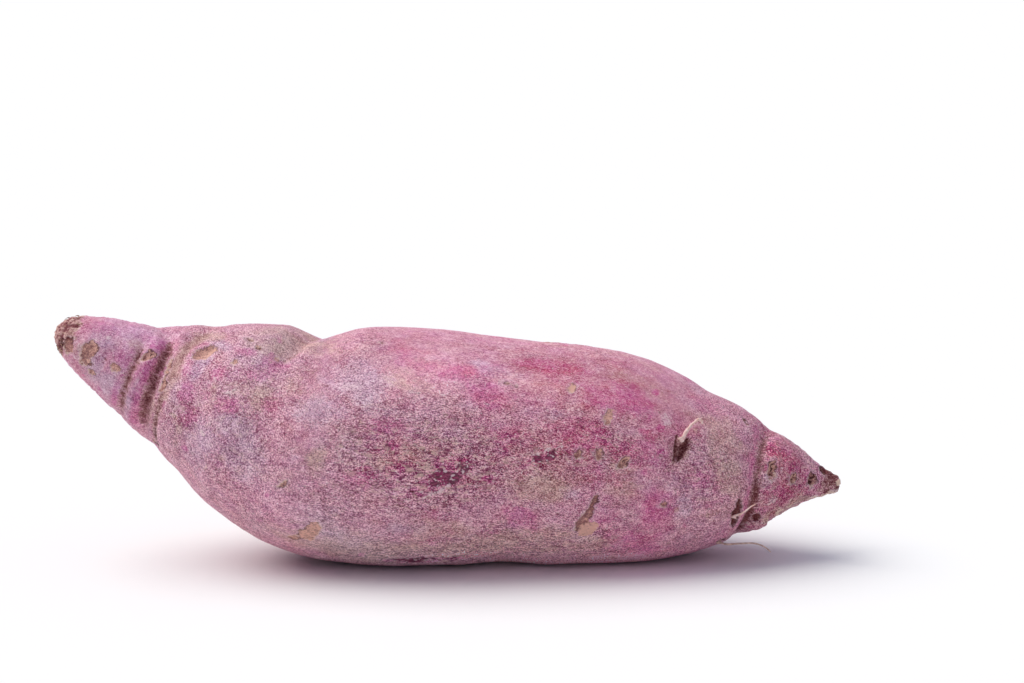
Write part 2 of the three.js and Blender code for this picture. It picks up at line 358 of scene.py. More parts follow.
# %% Tool: lines on the skin
def trail(places, reach):
    """Knots near a line through some places: how far off it in mm, which side of it, and how far along it."""
    table = np.array(places, float)
    knots = np.linspace(0, len(table) - 1, 6 * len(table))
    along, angle = (np.interp(knots, np.arange(len(table)), column) for column in table.T)
    for _ in range(3):
        along[1:-1], angle[1:-1] = ((v[:-2] + 2 * v[1:-1] + v[2:]) / 4 for v in (along, angle))
    line = cast(along, angle, np.zeros_like(along))
    near = np.all((skin > line.min(0) - reach * MM) & (skin < line.max(0) + reach * MM), axis=-1)
    points, facing = skin[near], normals[near]
    best, side, share = np.full(len(points), 1e9), np.zeros(len(points)), np.zeros(len(points))
    for k, (start, end) in enumerate(zip(line[:-1], line[1:])):
        step = end - start
        t = np.clip((points - start) @ step / (step @ step), 0, 1)
        away = points - start - t[:, None] * step
        off = np.linalg.norm(away, axis=1) / MM
        closer = off < best
        best[closer], share[closer] = off[closer], (k + t[closer]) / (len(line) - 1)
        side[closer] = np.sign((np.cross(step, away[closer]) * facing[closer]).sum(1))
    keep = best < reach
    near[near] = keep
    return near, best[keep], side[keep], share[keep]


print("a line over 20 degrees of the belly finds", int(trail([(50, 0), (50, 20)], 1)[0].sum()), "knots")

# %% Tool: laying a stain
def lay(near, **amounts):
    """Each stain becomes at least as strong as asked."""
    for name, amount in amounts.items():
        stains[name][near] = np.maximum(stains[name][near], np.clip(amount, 0, 1))


print("stains to lay:", ", ".join(STAINS))

# %% Tool: a mark with a crisp edge
def carve(near, gap, brown, outline, shade):
    """The marks sheets keep the nearest mark: how far outside its edge a knot lies in mm, and its colours."""
    closer = near.copy()
    closer[near] = gap < marks["edge"][near]
    keep = closer[near]
    for name, amount in (("edge", gap), ("brown", brown), ("outline", outline), ("shade", shade)):
        marks[name][closer] = np.broadcast_to(amount, gap.shape)[keep]


print("marks to carve start", FAR_OFF, "mm off, where they don't show")

# %% [markdown]
# ## Creases
# Where the neck bends, the skin folds in on itself. Soil and old cork stay in the folds and turn them brown,
# and the skin beside them is rubbed back to magenta. The dark along each trough follows how deep it is
# carved, so part of it is painted shade. Each crease is a list of places with its width, depth and stains.
# A fold is a wide soft trough with a thin crack at the bottom, and the crack comes and goes.

# %% The creases
CREASES = [
    # places (along, angle), half-width mm, depth mm, crack, cork, magenta
    ([(9.4, 64), (9.9, 40), (9.9, 4), (10.1, -25), (10.6, -50), (11.0, -80)], 1.4, 0.50, 0.58, 0.90, 0.8),
    ([(11.6, 96), (12.3, 68), (12.6, 50), (12.5, 20), (12.8, -18), (13.6, -53), (14.6, -80)],
     1.6, 1.10, 0.66, 0.90, 0.9),
    ([(17.4, 100), (15.6, 76), (14.2, 56), (13.8, 26), (14.0, 2)], 2.1, 0.50, 0.20, 1.0, 0.0),
    ([(13.8, 20), (14.2, -9), (15.1, -44), (16.5, -68)], 1.1, 0.50, 0.52, 0.95, 0.0),
    ([(90.8, 96), (89.5, 55), (89.0, 21), (88.8, -6)], 1.7, 0.80, 0.55, 0.80, 0.8),
    ([(89.1, 26), (88.9, 4), (88.5, -24), (87.6, -57), (86.6, -84)], 1.5, 0.85, 0.90, 0.95, 0.7),
    ([(6.7, 36), (6.6, 10), (6.8, -20), (7.2, -45)], 0.8, 0.22, 0.25, 0.25, 0.1),
    ([(11.0, 30), (11.1, 0), (11.6, -30)], 0.8, 0.20, 0.15, 0.30, 0.5),
    ([(13.6, 120), (14.2, 160), (15.0, 185), (16.2, 212), (17.0, 250)], 1.5, 0.75, 0.45, 0.75, 0.6),
    ([(8.8, 130), (9.2, 170), (10.0, 215), (10.6, 255)], 1.2, 0.40, 0.30, 0.60, 0.4),
    ([(89.6, 120), (89.2, 165), (88.6, 200), (87.8, 240)], 1.3, 0.50, 0.40, 0.60, 0.5),
    ([(19.0, 125), (19.6, 160), (20.4, 195)], 1.3, 0.40, 0.20, 0.40, 0.3),
]
print(len(CREASES), "creases listed")

# %% Press the creases in
WIDTH_SEED, LINE_SEED = 30, 60
for number, (places, width, depth, crack, cork, magenta) in enumerate(CREASES):
    near, off, side, share = trail(places, 4.5 * width)
    fade = ramp(share, 0, 0.3) * ramp(share, 1, 0.75)
    width = width * (1 + 0.22 * layered(grain[near], 4, 2, WIDTH_SEED + number))
    fold = fade * hill(off, 0, width)
    come_and_go = ramp(layered(grain[near], 2.2, 2, LINE_SEED + number), -0.5, 0.2)
    line = fade * hill(off, 0, 0.40) * come_and_go
    height[near] -= depth * fold + 0.40 * crack * line
    height[near] += 0.30 * depth * fade * hill(off / width, 2.1, 0.9)
    rubbed = fade * hill(off / width, 1.3, 0.9) * (side < 0)
    # The dark stain follows the fold's depth and its crack: partly soil and cork, partly painted shade.
    lay(near, dark=crack * (0.9 * fold + 0.25 * line), cork=cork * fold)
    lay(near, magenta=magenta * np.maximum(rubbed, fold**2))
print("creases reach", round(float(-height.min()), 2), "mm into the skin")

# %% [markdown]
# ## The shoulder
# Behind the neck the root thickened in two steps, and the later growth bulges over the earlier one. The bulge
# has an edge that stands over a shallow tan hollow and dies away down the front. The brown just under the
# edge is painted shade, and the tan in the hollow is partly tan skin and partly painted shade.

# %% The shoulder's edge
SHOULDER = [(31.5, 112), (30.2, 96), (28.6, 76), (27.6, 62), (26.2, 50), (23.8, 38)]
near, off, side, share = trail(SHOULDER, 9)
fade = ramp(share, 0, 0.15) * ramp(share, 1, 0.45)
bulge = (side > 0) * hill(off, 2.2, 2.8)
hollow = (side < 0) * hill(off, 0, 3.0) + 0.6 * (side > 0) * hill(off, 0, 0.9)
height[near] += 0.70 * fade * (bulge - hollow)
before_edge = fade * (side < 0)
# Brown just under the edge is painted shade; the tan in the hollow is partly tan skin, partly painted shade.
lay(near, cork=0.30 * before_edge * hill(off, 0, 1.6), tan=0.9 * before_edge * hill(off, 0, 6.5))
lay(near, lilac=0.4 * fade * bulge)
print("shoulder over", int(near.sum()), "knots")

# %% [markdown]
# ## Patches of colour
# The skin isn't one colour. Where the dusty outer scurf has rubbed away it is magenta. Old soil and healed
# skin are tan, and fresh scurf is lilac. On the belly the scurf has cracked into coarse dark flakes. These
# are broad, soft-edged patches, so they are stamps that change no height. Each row gives the stain, the
# place (along, angle), half-length and half-width in mm, turn in degrees and strength.

# %% Patches on the neck and its lobe
NECK_PATCHES = [
    ("magenta", 8.4, 14, 2.2, 3.6, -10, 0.65), ("magenta", 12.0, 18, 1.5, 3.6, -20, 0.70),
    ("magenta", 12.4, -22, 1.5, 4.0, 10, 0.3), ("magenta", 5.6, 62, 5.5, 3.0, 0, 0.5),
    ("magenta", 10.8, 60, 4.5, 3.0, 0, 0.5), ("magenta", 16.4, 12, 1.8, 3.6, 15, 1.0),
    ("magenta", 17.6, -2, 2.2, 2.6, 0, 0.95), ("magenta", 21.4, 18, 2.2, 1.6, 0, 0.95),
    ("magenta", 20.5, 56, 2.4, 1.6, 0, 0.9), ("magenta", 15.8, 34, 3.0, 3.4, 0, 0.6),
    ("magenta", 23.6, 44, 3.5, 3.0, 0, 0.55), ("magenta", 26.0, 27, 2.6, 2.6, 0, 0.6),
    ("lilac", 5.8, 30, 3.5, 2.6, 0, 0.5), ("lilac", 8.2, -20, 2.8, 3.4, 0, 0.6),
    ("lilac", 11.6, -28, 1.8, 3.6, 10, 0.7), ("lilac", 17.0, 66, 5.0, 1.5, -32, 0.95),
    ("lilac", 16.6, 42, 1.3, 5.0, -12, 0.9), ("lilac", 20.0, -18, 5.0, 6.0, 0, 0.8),
    ("lilac", 25.5, -8, 6.0, 5.0, 0, 0.7), ("lilac", 6.0, -6, 2.6, 2.6, 0, 0.6),
    ("tan", 9.2, 46, 2.2, 2.2, 0, 0.7), ("tan", 14.4, 10, 1.4, 5.0, 0, 0.9),
    ("tan", 13.6, -36, 1.2, 5.0, 10, 0.8), ("tan", 19.2, 22, 1.8, 4.0, 20, 0.85),
    ("tan", 17.4, -10, 1.0, 2.6, 0, 0.8), ("tan", 16.0, 74, 4.0, 1.8, -20, 0.9),
    # The tan patches at 22 to 28 percent along and 62 to 78 degrees fill the hollow behind the shoulder:
    # partly tan skin, partly painted shade.
    ("tan", 24.8, 30, 3.0, 4.2, 20, 0.75), ("tan", 27.4, 74, 6.5, 4.5, -30, 0.95),
    ("tan", 24.4, 62, 4.5, 3.5, -20, 0.75), ("tan", 22.4, 78, 4.0, 2.5, 0, 0.6),
    ("tan", 28.2, 38, 3.0, 2.5, 0, 0.5), ("tan", 33.2, 3, 2.9, 2.9, 0, 1.0),
    ("pale", 33.2, 4, 2.4, 2.2, 0, 0.35), ("tan", 33.4, 322, 3.4, 2.2, 35, 1.0),
    ("tan", 30.5, 350, 3.0, 2.5, 0, 0.5), ("coarse", 21.5, 26, 6.5, 10.0, 0, 0.50),
    ("magenta", 18.6, 36, 1.8, 1.8, 0, 0.7), ("magenta", 24.2, 53, 2.5, 1.4, 0, 0.8),
    ("tan", 21.6, 34, 2.6, 3.0, 0, 0.65), ("lilac", 22.5, 6, 4.0, 4.0, 0, 0.6),
    ("pale", 6.0, 44, 1.0, 0.8, 30, 0.5), ("pale", 20.0, 353, 0.9, 0.6, 0, 0.7),
]
print(len(NECK_PATCHES), "patches on the neck")

# %% Patches on the belly
BELLY_PATCHES = [
    ("magenta", 41.6, 22, 4.5, 2.4, 5, 0.75), ("magenta", 44.0, 4, 4.0, 2.0, 0, 0.7),
    ("magenta", 39.0, -4, 3.0, 1.8, 0, 0.6), ("magenta", 53.8, 42, 4.5, 3.0, 0, 0.85),
    ("magenta", 51.5, 52, 6.0, 3.0, 0, 0.6), ("magenta", 62.0, 64, 9.0, 4.0, -8, 0.8),
    ("magenta", 66.4, 26, 7.5, 4.6, 0, 0.95), ("magenta", 72.5, 20, 6.0, 3.6, 10, 0.75),
    ("magenta", 70.5, 50, 8.0, 4.0, 0, 0.6), ("magenta", 57.0, 20, 4.5, 2.6, 0, 0.6),
    ("magenta", 59.6, -22, 3.8, 2.4, 0, 0.85), ("magenta", 76.6, -14, 5.0, 5.0, 0, 0.95),
    ("magenta", 74.5, -38, 7.0, 4.5, 0, 0.8), ("magenta", 80.5, 8, 3.5, 3.0, 0, 0.6),
    ("magenta", 52.0, -34, 8.0, 3.0, 0, 0.4), ("magenta", 44.0, 60, 7.0, 3.5, 0, 0.5),
    ("lilac", 37.5, 46, 8.0, 4.5, 0, 0.7), ("lilac", 31.5, 26, 6.0, 4.0, 0, 0.6),
    ("lilac", 44.5, -28, 6.0, 2.5, 0, 0.6), ("lilac", 56.0, 56, 7.0, 3.0, 0, 0.5),
    ("lilac", 64.5, -4, 4.0, 1.8, -30, 0.7), ("lilac", 79.5, -10, 2.2, 2.8, 0, 0.9),
    ("lilac", 40.0, -42, 9.0, 5.0, 0, 0.7), ("lilac", 61.0, 34, 6.0, 2.4, 0, 0.45),
    ("tan", 62.0, -6, 6.0, 3.8, 0, 0.85), ("tan", 71.5, -4, 4.0, 3.5, 0, 0.6),
    ("tan", 71.0, 10, 3.0, 2.0, 0, 0.55), ("tan", 49.0, -30, 9.0, 3.0, 0, 0.6),
    ("tan", 44.0, 48, 5.0, 3.0, 0, 0.5), ("tan", 41.5, 6, 3.5, 2.0, 0, 0.6),
    ("tan", 47.0, 14, 8.0, 2.5, 0, 0.55), ("tan", 84.5, 20, 5.0, 9.0, 0, 0.75),
    ("tan", 83.8, 52, 6.0, 4.5, 0, 0.65), ("tan", 84.0, -24, 4.0, 4.5, 0, 0.55),
    ("tan", 58.0, 318, 24.0, 5.0, 4, 0.8), ("tan", 38.5, 314, 13.0, 5.0, -6, 0.8),
    ("tan", 75.0, 62, 8.0, 3.5, 0, 0.5), ("tan", 65.0, 88, 14.0, 4.0, 0, 0.4),
    ("coarse", 47.5, 4, 17.0, 7.5, 0, 0.95), ("coarse", 56.0, 14, 14.0, 5.5, 4, 0.6),
    ("coarse", 40.5, 12, 9.0, 6.0, 0, 0.6), ("coarse", 68.5, 18, 9.0, 5.0, 0, 0.55),
    ("coarse", 17.6, -2, 3.5, 4.5, 0, 0.5), ("coarse", 52.0, -46, 26.0, 6.0, 0, 0.85),
    ("coarse", 36.0, -30, 8.0, 5.0, 0, 0.3), ("coarse", 83.0, 20, 6.0, 6.0, 0, 0.3),
]
print(len(BELLY_PATCHES), "patches on the belly")

# %% Patches on the tip, and round the slanting eye
TIP_PATCHES = [
    ("magenta", 91.4, 50, 5.5, 3.0, 0, 1.0), ("magenta", 90.6, -6, 3.0, 2.6, 0, 0.6),
    ("magenta", 94.0, 32, 4.0, 3.0, 0, 0.8), ("magenta", 92.8, -12, 3.0, 2.0, 0, 0.55),
    ("lilac", 89.6, 62, 2.2, 1.6, 0, 0.8), ("lilac", 89.8, 6, 1.6, 2.2, 0, 0.7),
    ("tan", 94.6, -22, 4.0, 2.2, 0, 0.8), ("tan", 91.6, -48, 5.0, 2.6, 0, 0.95),
    ("cork", 95.4, -40, 4.0, 1.8, 0, 0.8), ("cork", 97.6, -4, 1.6, 3.0, 0, 0.75),
    ("cork", 78.3, 27, 3.6, 2.2, 72, 1.0), ("dark", 89.1, 320, 1.7, 1.2, 72, 1.0),
    ("dark", 88.4, 311, 1.2, 0.8, 40, 0.7), ("pale", 75.8, 43, 1.2, 1.8, 20, 0.5),
    ("magenta", 75.2, 38, 0.9, 1.2, 0, 1.0), ("tan", 4.4, 8, 3.4, 3.0, 40, 0.7),
    ("pale", 4.9, -16, 1.6, 1.0, 20, 0.35),
]
print(len(TIP_PATCHES), "patches on the tip and round two scabs")

# %% Patches on the back, top and underside
HIDDEN_PATCHES = [
    ("magenta", 38.0, 150, 13.0, 7.0, 15, 0.8), ("magenta", 66.0, 205, 13.0, 6.0, -8, 0.85),
    ("magenta", 25.0, 170, 6.0, 5.0, 0, 0.7), ("magenta", 92.0, 190, 5.0, 6.0, 0, 0.9),
    ("magenta", 55.0, 255, 12.0, 6.0, 0, 0.5), ("magenta", 80.0, 120, 8.0, 5.0, 0, 0.7),
    ("magenta", 12.0, 165, 2.0, 6.0, 0, 0.8), ("magenta", 50.0, 108, 9.0, 4.0, 0, 0.6),
    ("tan", 53.0, 128, 16.0, 6.0, 0, 0.6), ("tan", 33.0, 205, 9.0, 5.0, 0, 0.7),
    ("tan", 70.0, 165, 6.0, 4.0, 30, 0.8), ("tan", 47.0, 230, 18.0, 7.0, 0, 0.6),
    ("tan", 50.0, 270, 30.0, 8.0, 0, 0.7), ("tan", 80.0, 250, 9.0, 5.0, 0, 0.7),
    ("tan", 20.0, 215, 5.0, 4.0, 0, 0.7), ("tan", 90.0, 240, 5.0, 4.0, 0, 0.8),
    ("lilac", 58.0, 160, 10.0, 5.0, 0, 0.6), ("lilac", 45.0, 195, 9.0, 5.0, 0, 0.6),
    ("lilac", 80.0, 175, 7.0, 4.0, 0, 0.7), ("lilac", 20.0, 150, 4.0, 5.0, 0, 0.7),
    ("coarse", 55.0, 185, 22.0, 9.0, 0, 0.8), ("coarse", 40.0, 120, 14.0, 6.0, 0, 0.4),
    ("coarse", 50.0, 270, 36.0, 10.0, 0, 0.6), ("coarse", 76.0, 140, 9.0, 6.0, 0, 0.5),
]
print(len(HIDDEN_PATCHES), "patches on the sides that lie away from the front")

# %% Lay the patches
PATCH_SEED = 100
PATCHES = NECK_PATCHES + BELLY_PATCHES + TIP_PATCHES + HIDDEN_PATCHES
for number, (stain, along, angle, long, wide, turn, strength) in enumerate(PATCHES):
    near, far, _, _ = stamp(along, angle, long, wide, turn, ragged=0.7, seed=PATCH_SEED + number)
    lay(near, **{stain: strength * ramp(far, 1.75, 0.25)})
print(len(PATCHES), "patches;", {name: f"{(sheet > 0.3).mean():.0%}" for name, sheet in stains.items()})

# %% [markdown]
# ## Broad shifts of colour
# Over a few centimetres the whole speckle changes together: lighter or darker, warmer or cooler, stronger or
# duller. A stain would hide the speckle, so these shifts are kept apart and only turn its colours. They were
# set by trial. The strongest paints the lower front of the belly about a third brighter than the skin above
# it. This lamp and world give little light there, and a shiny floor would throw up more, so part of that
# brightness stands for light and may look too pale under other lamps.
# The tip half of the root is redder as a whole, and the skin of the neck and of the upper belly is smoother,
# with less scurf.

# %% Shifts of light, warmth and strength
# Rows that darken the upper front, between 50 and 76 degrees, are partly painted shadow along the top.
BROAD = [
    # along, angle, half-length mm, half-width mm, lighter or darker, warmer or cooler, stronger or duller
    (38, 40, 16, 12, 0.20, 0.0, -0.04), (50, 50, 16, 8, 0.45, 0.0, 0.0),
    (34, 6, 9, 8, 0.35, 0.0, -0.10), (30, -22, 9, 8, 0.55, -0.2, -0.06),
    (22, 0, 8, 9, 0.0, -0.3, -0.03), (23, 50, 7, 8, -0.12, -0.5, -0.13),
    (44, -52, 18, 8, 0.70, -0.1, -0.18), (68, -55, 24, 9, 0.85, 0.1, -0.05),
    (92.5, 5, 6, 9, -0.45, 0.5, 0.14), (44, 76, 9, 6, -0.50, 0.0, 0.06),
    (8, 65, 8, 8, 0.10, -0.9, -0.10), (22, 72, 8, 6, -0.08, 0.1, -0.12),
    (50, -73, 34, 7, 1.8, 0.1, -0.10), (70, -72, 18, 6, 1.5, 0.2, -0.04),
    (46, 48, 11, 8, 0.4, 0.1, 0.0), (62, 50, 12, 8, 0.15, 0.3, 0.06), (91, 42, 4, 5, 0.6, 0.1, 0.08),
    (66, 68, 18, 6, -0.52, 0.2, 0.06), (94, 0, 5, 5, -0.4, 0.0, 0.06), (16, 0, 3, 9, 0.6, -0.2, -0.12),
    (36, -40, 8, 8, 0.05, -0.2, -0.14), (64, 14, 14, 9, -0.05, 0.5, 0.08),
    (10, -20, 6, 8, -0.25, -0.3, -0.15), (60, -20, 14, 8, 0.0, -0.1, -0.04),
    (76, 45, 10, 8, 0.0, 0.1, 0.05), (52, 2, 12, 7, 0.0, 0.2, 0.12), (35, 54, 6, 5, -0.55, 0.0, 0.0),
    (59, 67, 9, 4, -0.60, 0.0, 0.0), (71, 63, 7, 4, -0.35, 0.0, 0.0),
    (17.5, 350, 3, 7, -0.50, 0.0, -0.04), (6, 40, 6, 8, -0.40, 0.0, 0.0),
    (46, 336, 8, 4, -0.35, 0.0, 0.0), (25, 66, 4, 5, -0.25, 0.0, 0.0), (91, 34, 3, 4, 0.40, 0.0, 0.0),
    (52, 309, 12, 3.5, 2.2, 0.0, 0.0), (75, 307, 9, 3, 0.9, 0.0, 0.0), (40, 62, 7, 4, -0.60, 0.0, 0.0),
    (29, 312, 5, 4, 0.0, 0.0, -0.10), (21, 38, 4, 5, 0.30, 0.0, 0.0), (17, 352, 3, 6, -0.30, 0.0, 0.0),
    (43, 10, 7, 5, 0.0, 0.0, 0.18), (34, 332, 6, 5, -0.10, -0.2, -0.16),
    (94, 12, 4, 4, -0.35, 0.0, 0.0),
]
SHIFT_SEED = 240
for number, (along, angle, long, wide, lighter, warmer, stronger) in enumerate(BROAD):
    near, far, _, _ = stamp(along, angle, long, wide, turn=0, ragged=0.3, seed=SHIFT_SEED + number)
    for name, amount in (("light", lighter), ("warm", warmer), ("strong", stronger)):
        marks[name][near] += amount * hill(far, 0, 1)
print("light shifts from", round(float(marks["light"].min()), 2), "to", round(float(marks["light"].max()), 2))

# %% Shifts along the whole root
redder = 0.22 * ramp(grid_along, 42, 66) + 0.22 * ramp(grid_along, 86, 91)
stains["magenta"] = np.maximum(stains["magenta"], redder)
stains["coarse"] = np.maximum(stains["coarse"], 0.45 * ramp(grid_along, 87, 91))
facing_up = ramp(upward, 0.45, 0.85)
upper_belly = facing_up * ramp(grid_along, 36, 44) * ramp(grid_along, 84, 76)
smooth_skin = 0.75 * ramp(grid_along, 17, 9) + 0.65 * upper_belly
stains["coarse"] -= smooth_skin * (1 - stains["coarse"])
marks["drawn"] = ramp(grid_along, 26, 38) * ramp(grid_along, 82, 68)
print("smooth skin over", f"{(smooth_skin > 0.3).mean():.0%}", "of the root")

# %% [markdown]
# ## Eyes
# Thin side roots grew from the eyes and broke off. An eye is a shallow oval dish of cork with a thin rim,
# often with a dark slit across it. The rim is dark along its upper side and pale along its lower side. On
# the young tip the eyes are scabs, cracked through and through.

# %% The eyes
EYES = [
    # along, angle, half-length mm, half-width mm, turn, depth mm, slit, brown, scabby
    (16.4, 52, 3.1, 1.6, 40, 0.45, 0.30, 0.12, 0.2), (4.6, 9, 2.6, 2.1, 75, 0.20, 0.0, 0.40, 0.8),
    (4.7, -12, 1.5, 1.2, 30, 0.16, 0.0, 0.45, 1.0), (90.6, 22, 2.2, 1.2, 82, 0.40, 0.9, 0.25, 1.0),
    (93.6, 13, 1.7, 1.2, 80, 0.40, 0.9, 0.15, 0.9), (96.1, 15, 1.7, 1.3, 60, 0.35, 1.0, 0.60, 1.0),
    (97.6, 56, 1.5, 1.1, -50, 0.40, 1.0, 0.80, 1.0), (65.5, 15, 1.3, 1.0, 60, 0.22, 0.3, 0.45, 0.6),
    (68.0, 16, 1.6, 0.9, 100, 0.28, 0.7, 0.45, 0.5), (71.0, 13, 1.8, 1.0, 50, 0.34, 0.85, 0.25, 1.0),
    (76.9, 350, 1.1, 0.6, 10, 0.30, 0.8, 0.60, 0.4), (87.2, 67, 1.2, 0.6, -50, 0.30, 0.8, 0.50, 0.4),
    (89.2, 321, 1.7, 1.1, 72, 0.50, 0.6, 0.95, 0.5), (40.0, 70, 0.8, 0.5, 0, 0.25, 0.8, 0.60, 0.2),
    (10.9, 34, 2.1, 1.0, 55, 0.28, 0.8, 0.30, 1.0), (13.7, 10, 1.6, 1.0, 80, 0.25, 0.7, 0.30, 1.0),
    (8.2, 4, 1.5, 1.1, 0, 0.16, 0.1, 0.20, 0.3), (15.4, -62, 1.0, 0.7, 0, 0.20, 0.3, 0.40, 0.6),
    (5.9, -24, 0.9, 1.2, 80, 0.12, 0.2, 0.40, 0.5), (2.3, -2, 1.7, 1.7, 0, 0.15, 0.0, 0.65, 0.6),
    (64.0, 50, 1.3, 1.0, 85, 0.14, 0.0, -0.35, 0.2), (68.8, 38, 1.9, 1.1, 85, 0.22, 0.1, 0.08, 0.2),
    (36.4, 12, 0.8, 0.5, 0, 0.10, 0.0, 0.10, 0.2), (84.8, 300, 1.2, 0.8, 40, 0.25, 0.6, 0.40, 0.6),
    (19.9, 47, 1.0, 0.6, 20, 0.16, 0.6, 0.30, 0.6), (22.0, 200, 2.6, 1.4, 75, 0.45, 0.5, 0.25, 0.4),
    (72.0, 168, 2.4, 1.3, 60, 0.50, 0.7, 0.35, 0.5), (46.0, 155, 1.8, 1.2, 70, 0.35, 0.5, 0.20, 0.4),
    (58.0, 215, 2.0, 1.1, 50, 0.40, 0.6, 0.30, 0.6), (34.0, 140, 1.4, 0.9, 70, 0.30, 0.5, 0.30, 0.3),
    (84.0, 205, 1.6, 1.0, 60, 0.35, 0.6, 0.30, 0.6), (93.0, 150, 1.3, 0.9, 60, 0.30, 0.6, 0.30, 0.8),
    (95.5, 220, 1.2, 0.9, 60, 0.30, 0.7, 0.40, 0.9), (40.0, 245, 1.8, 1.1, 70, 0.35, 0.5, 0.25, 0.5),
    (62.0, 110, 1.2, 0.8, 60, 0.25, 0.5, 0.20, 0.3), (52.0, 290, 1.6, 1.0, 65, 0.25, 0.5, 0.30, 0.4),
    (26.0, 110, 1.1, 0.8, 60, 0.25, 0.4, 0.30, 0.3), (7.5, 190, 1.8, 1.2, 60, 0.30, 0.6, 0.30, 0.7),
    (91.0, 270, 1.6, 1.0, 60, 0.30, 0.6, 0.30, 0.8),
]
print(len(EYES), "eyes listed")

# %% Draw an eye
# The dark lip is the one that faces up, and 0.6 radians towards the tip. Its dark is partly soil and partly
# painted shade, and the pale of the other lip is partly painted light.
DARK_LIP = 0.6
EYE_SEED, CHIP_SEED = 300, 350


def eye(number, along, angle, long, wide, turn, depth, slit, brown, scabby):
    """A dish of cork with a thin rim and a slit, broken up by cracks where it is scabby."""
    near, far, x, y = stamp(along, angle, 0.9 * long, 0.9 * wide, turn, ragged=0.45, seed=EYE_SEED + number)
    dish = ramp(far, 1.15, 0.55)
    rim = hill(far, 1.35, 0.35)
    chips = layered(grain[near], 0.75, 2, CHIP_SEED + number)
    crack = scabby * dish * ramp(np.abs(chips), 0.30, 0.05)
    cut = dish * hill(y * wide + 0.25 * chips, 0, 0.16 * wide + 0.10) * ramp(np.abs(x), 1.05, 0.6)
    crumbled = 0.3 * scabby * depth * chips * dish
    height[near] += 0.45 * depth * rim - depth * dish - 0.5 * depth * (crack + cut) + crumbled
    lay(near, dark=0.7 * slit * crack, pale=0.45 * rim * ramp(chips, -0.4, 0.4))
    beside_slit = np.abs(y * wide + 0.55 * chips) - 0.20 * wide * slit
    beyond_slit = (np.abs(x) - 0.35 - 0.4 * slit) * long
    off_slit = np.maximum(beside_slit, beyond_slit) + 1.2 * (1 - slit)
    marks["slit"][near] = np.minimum(marks["slit"][near], off_slit)
    gap = (far - 1) * far / np.maximum(np.hypot(x / long, y / wide), 0.05)
    side = math.radians(turn) + DARK_LIP
    rise = x * long * math.sin(side) + y * wide * math.cos(side)
    shade = rise / np.maximum(np.hypot(x * long, y * wide), 0.05)
    stale = brown - 0.30 * x + 0.2 * scabby * chips
    carve(near, np.clip(gap, -2, 3), stale, 0.60 + 0.40 * scabby, shade)


for number, row in enumerate(EYES):
    eye(number, *row)
print("eyes cover", int((marks["edge"] < 0).sum()), "knots")

# %% [markdown]
# ## Cracks and tears
# The skin splits when the root grows too fast, and flakes off where it was knocked. A cracked patch is a
# cluster of small dark pits with bright crumbs of dried starch between them. A tear is a ragged slot, with
# the skin lifted along one side. A scratch is a tear without depth.

# %% Cracked patches
CRACKED = [
    # along, angle, half-length mm, half-width mm, turn, dark
    (49.2, 0, 4.6, 2.0, 32, 1.0), (46.4, -7, 2.2, 0.8, 10, 0.7), (51.6, 5, 2.0, 1.4, 30, 1.0),
    (60.8, 9, 2.2, 1.1, 12, 1.0), (62.6, 14, 1.7, 1.1, 30, 1.0), (45.2, 305, 5.5, 1.3, 0, 0.95),
    (51.0, 306, 2.0, 0.6, 0, 0.8), (39.6, 1, 1.6, 0.9, 0, 0.6), (42.5, 14, 1.2, 0.7, 0, 0.6),
    (54.5, -1, 1.0, 0.6, 0, 0.3), (62.0, 196, 4.2, 1.8, 20, 0.95), (37.0, 176, 3.0, 1.4, -20, 0.9),
    (52.0, 235, 3.5, 1.4, 0, 0.8),
]
CRACKED_SEED, PIT_SEED = 500, 520
for number, (along, angle, long, wide, turn, dark) in enumerate(CRACKED):
    near, far, _, y = stamp(along, angle, long, wide, turn, ragged=0.6, seed=CRACKED_SEED + number)
    patch = ramp(far, 1.25, 0.6)
    pits = ramp(noise(grain[near] / [1.25, 1, 1], 0.95, PIT_SEED + number), -0.5, 0.3)
    lip = hill(far, 1.25, 0.22) * ramp(y, 0.2, -0.5)
    height[near] += 0.22 * lip - 0.30 * patch * pits
    lay(near, pitted=dark * ramp(far, 1.35, 0.75), pale=0.40 * lip)
    lay(near, magenta=0.9 * ramp(far, 1.8, 1.0), coarse=0.8 * ramp(far, 2.0, 0.9))
print(len(CRACKED), "cracked patches")

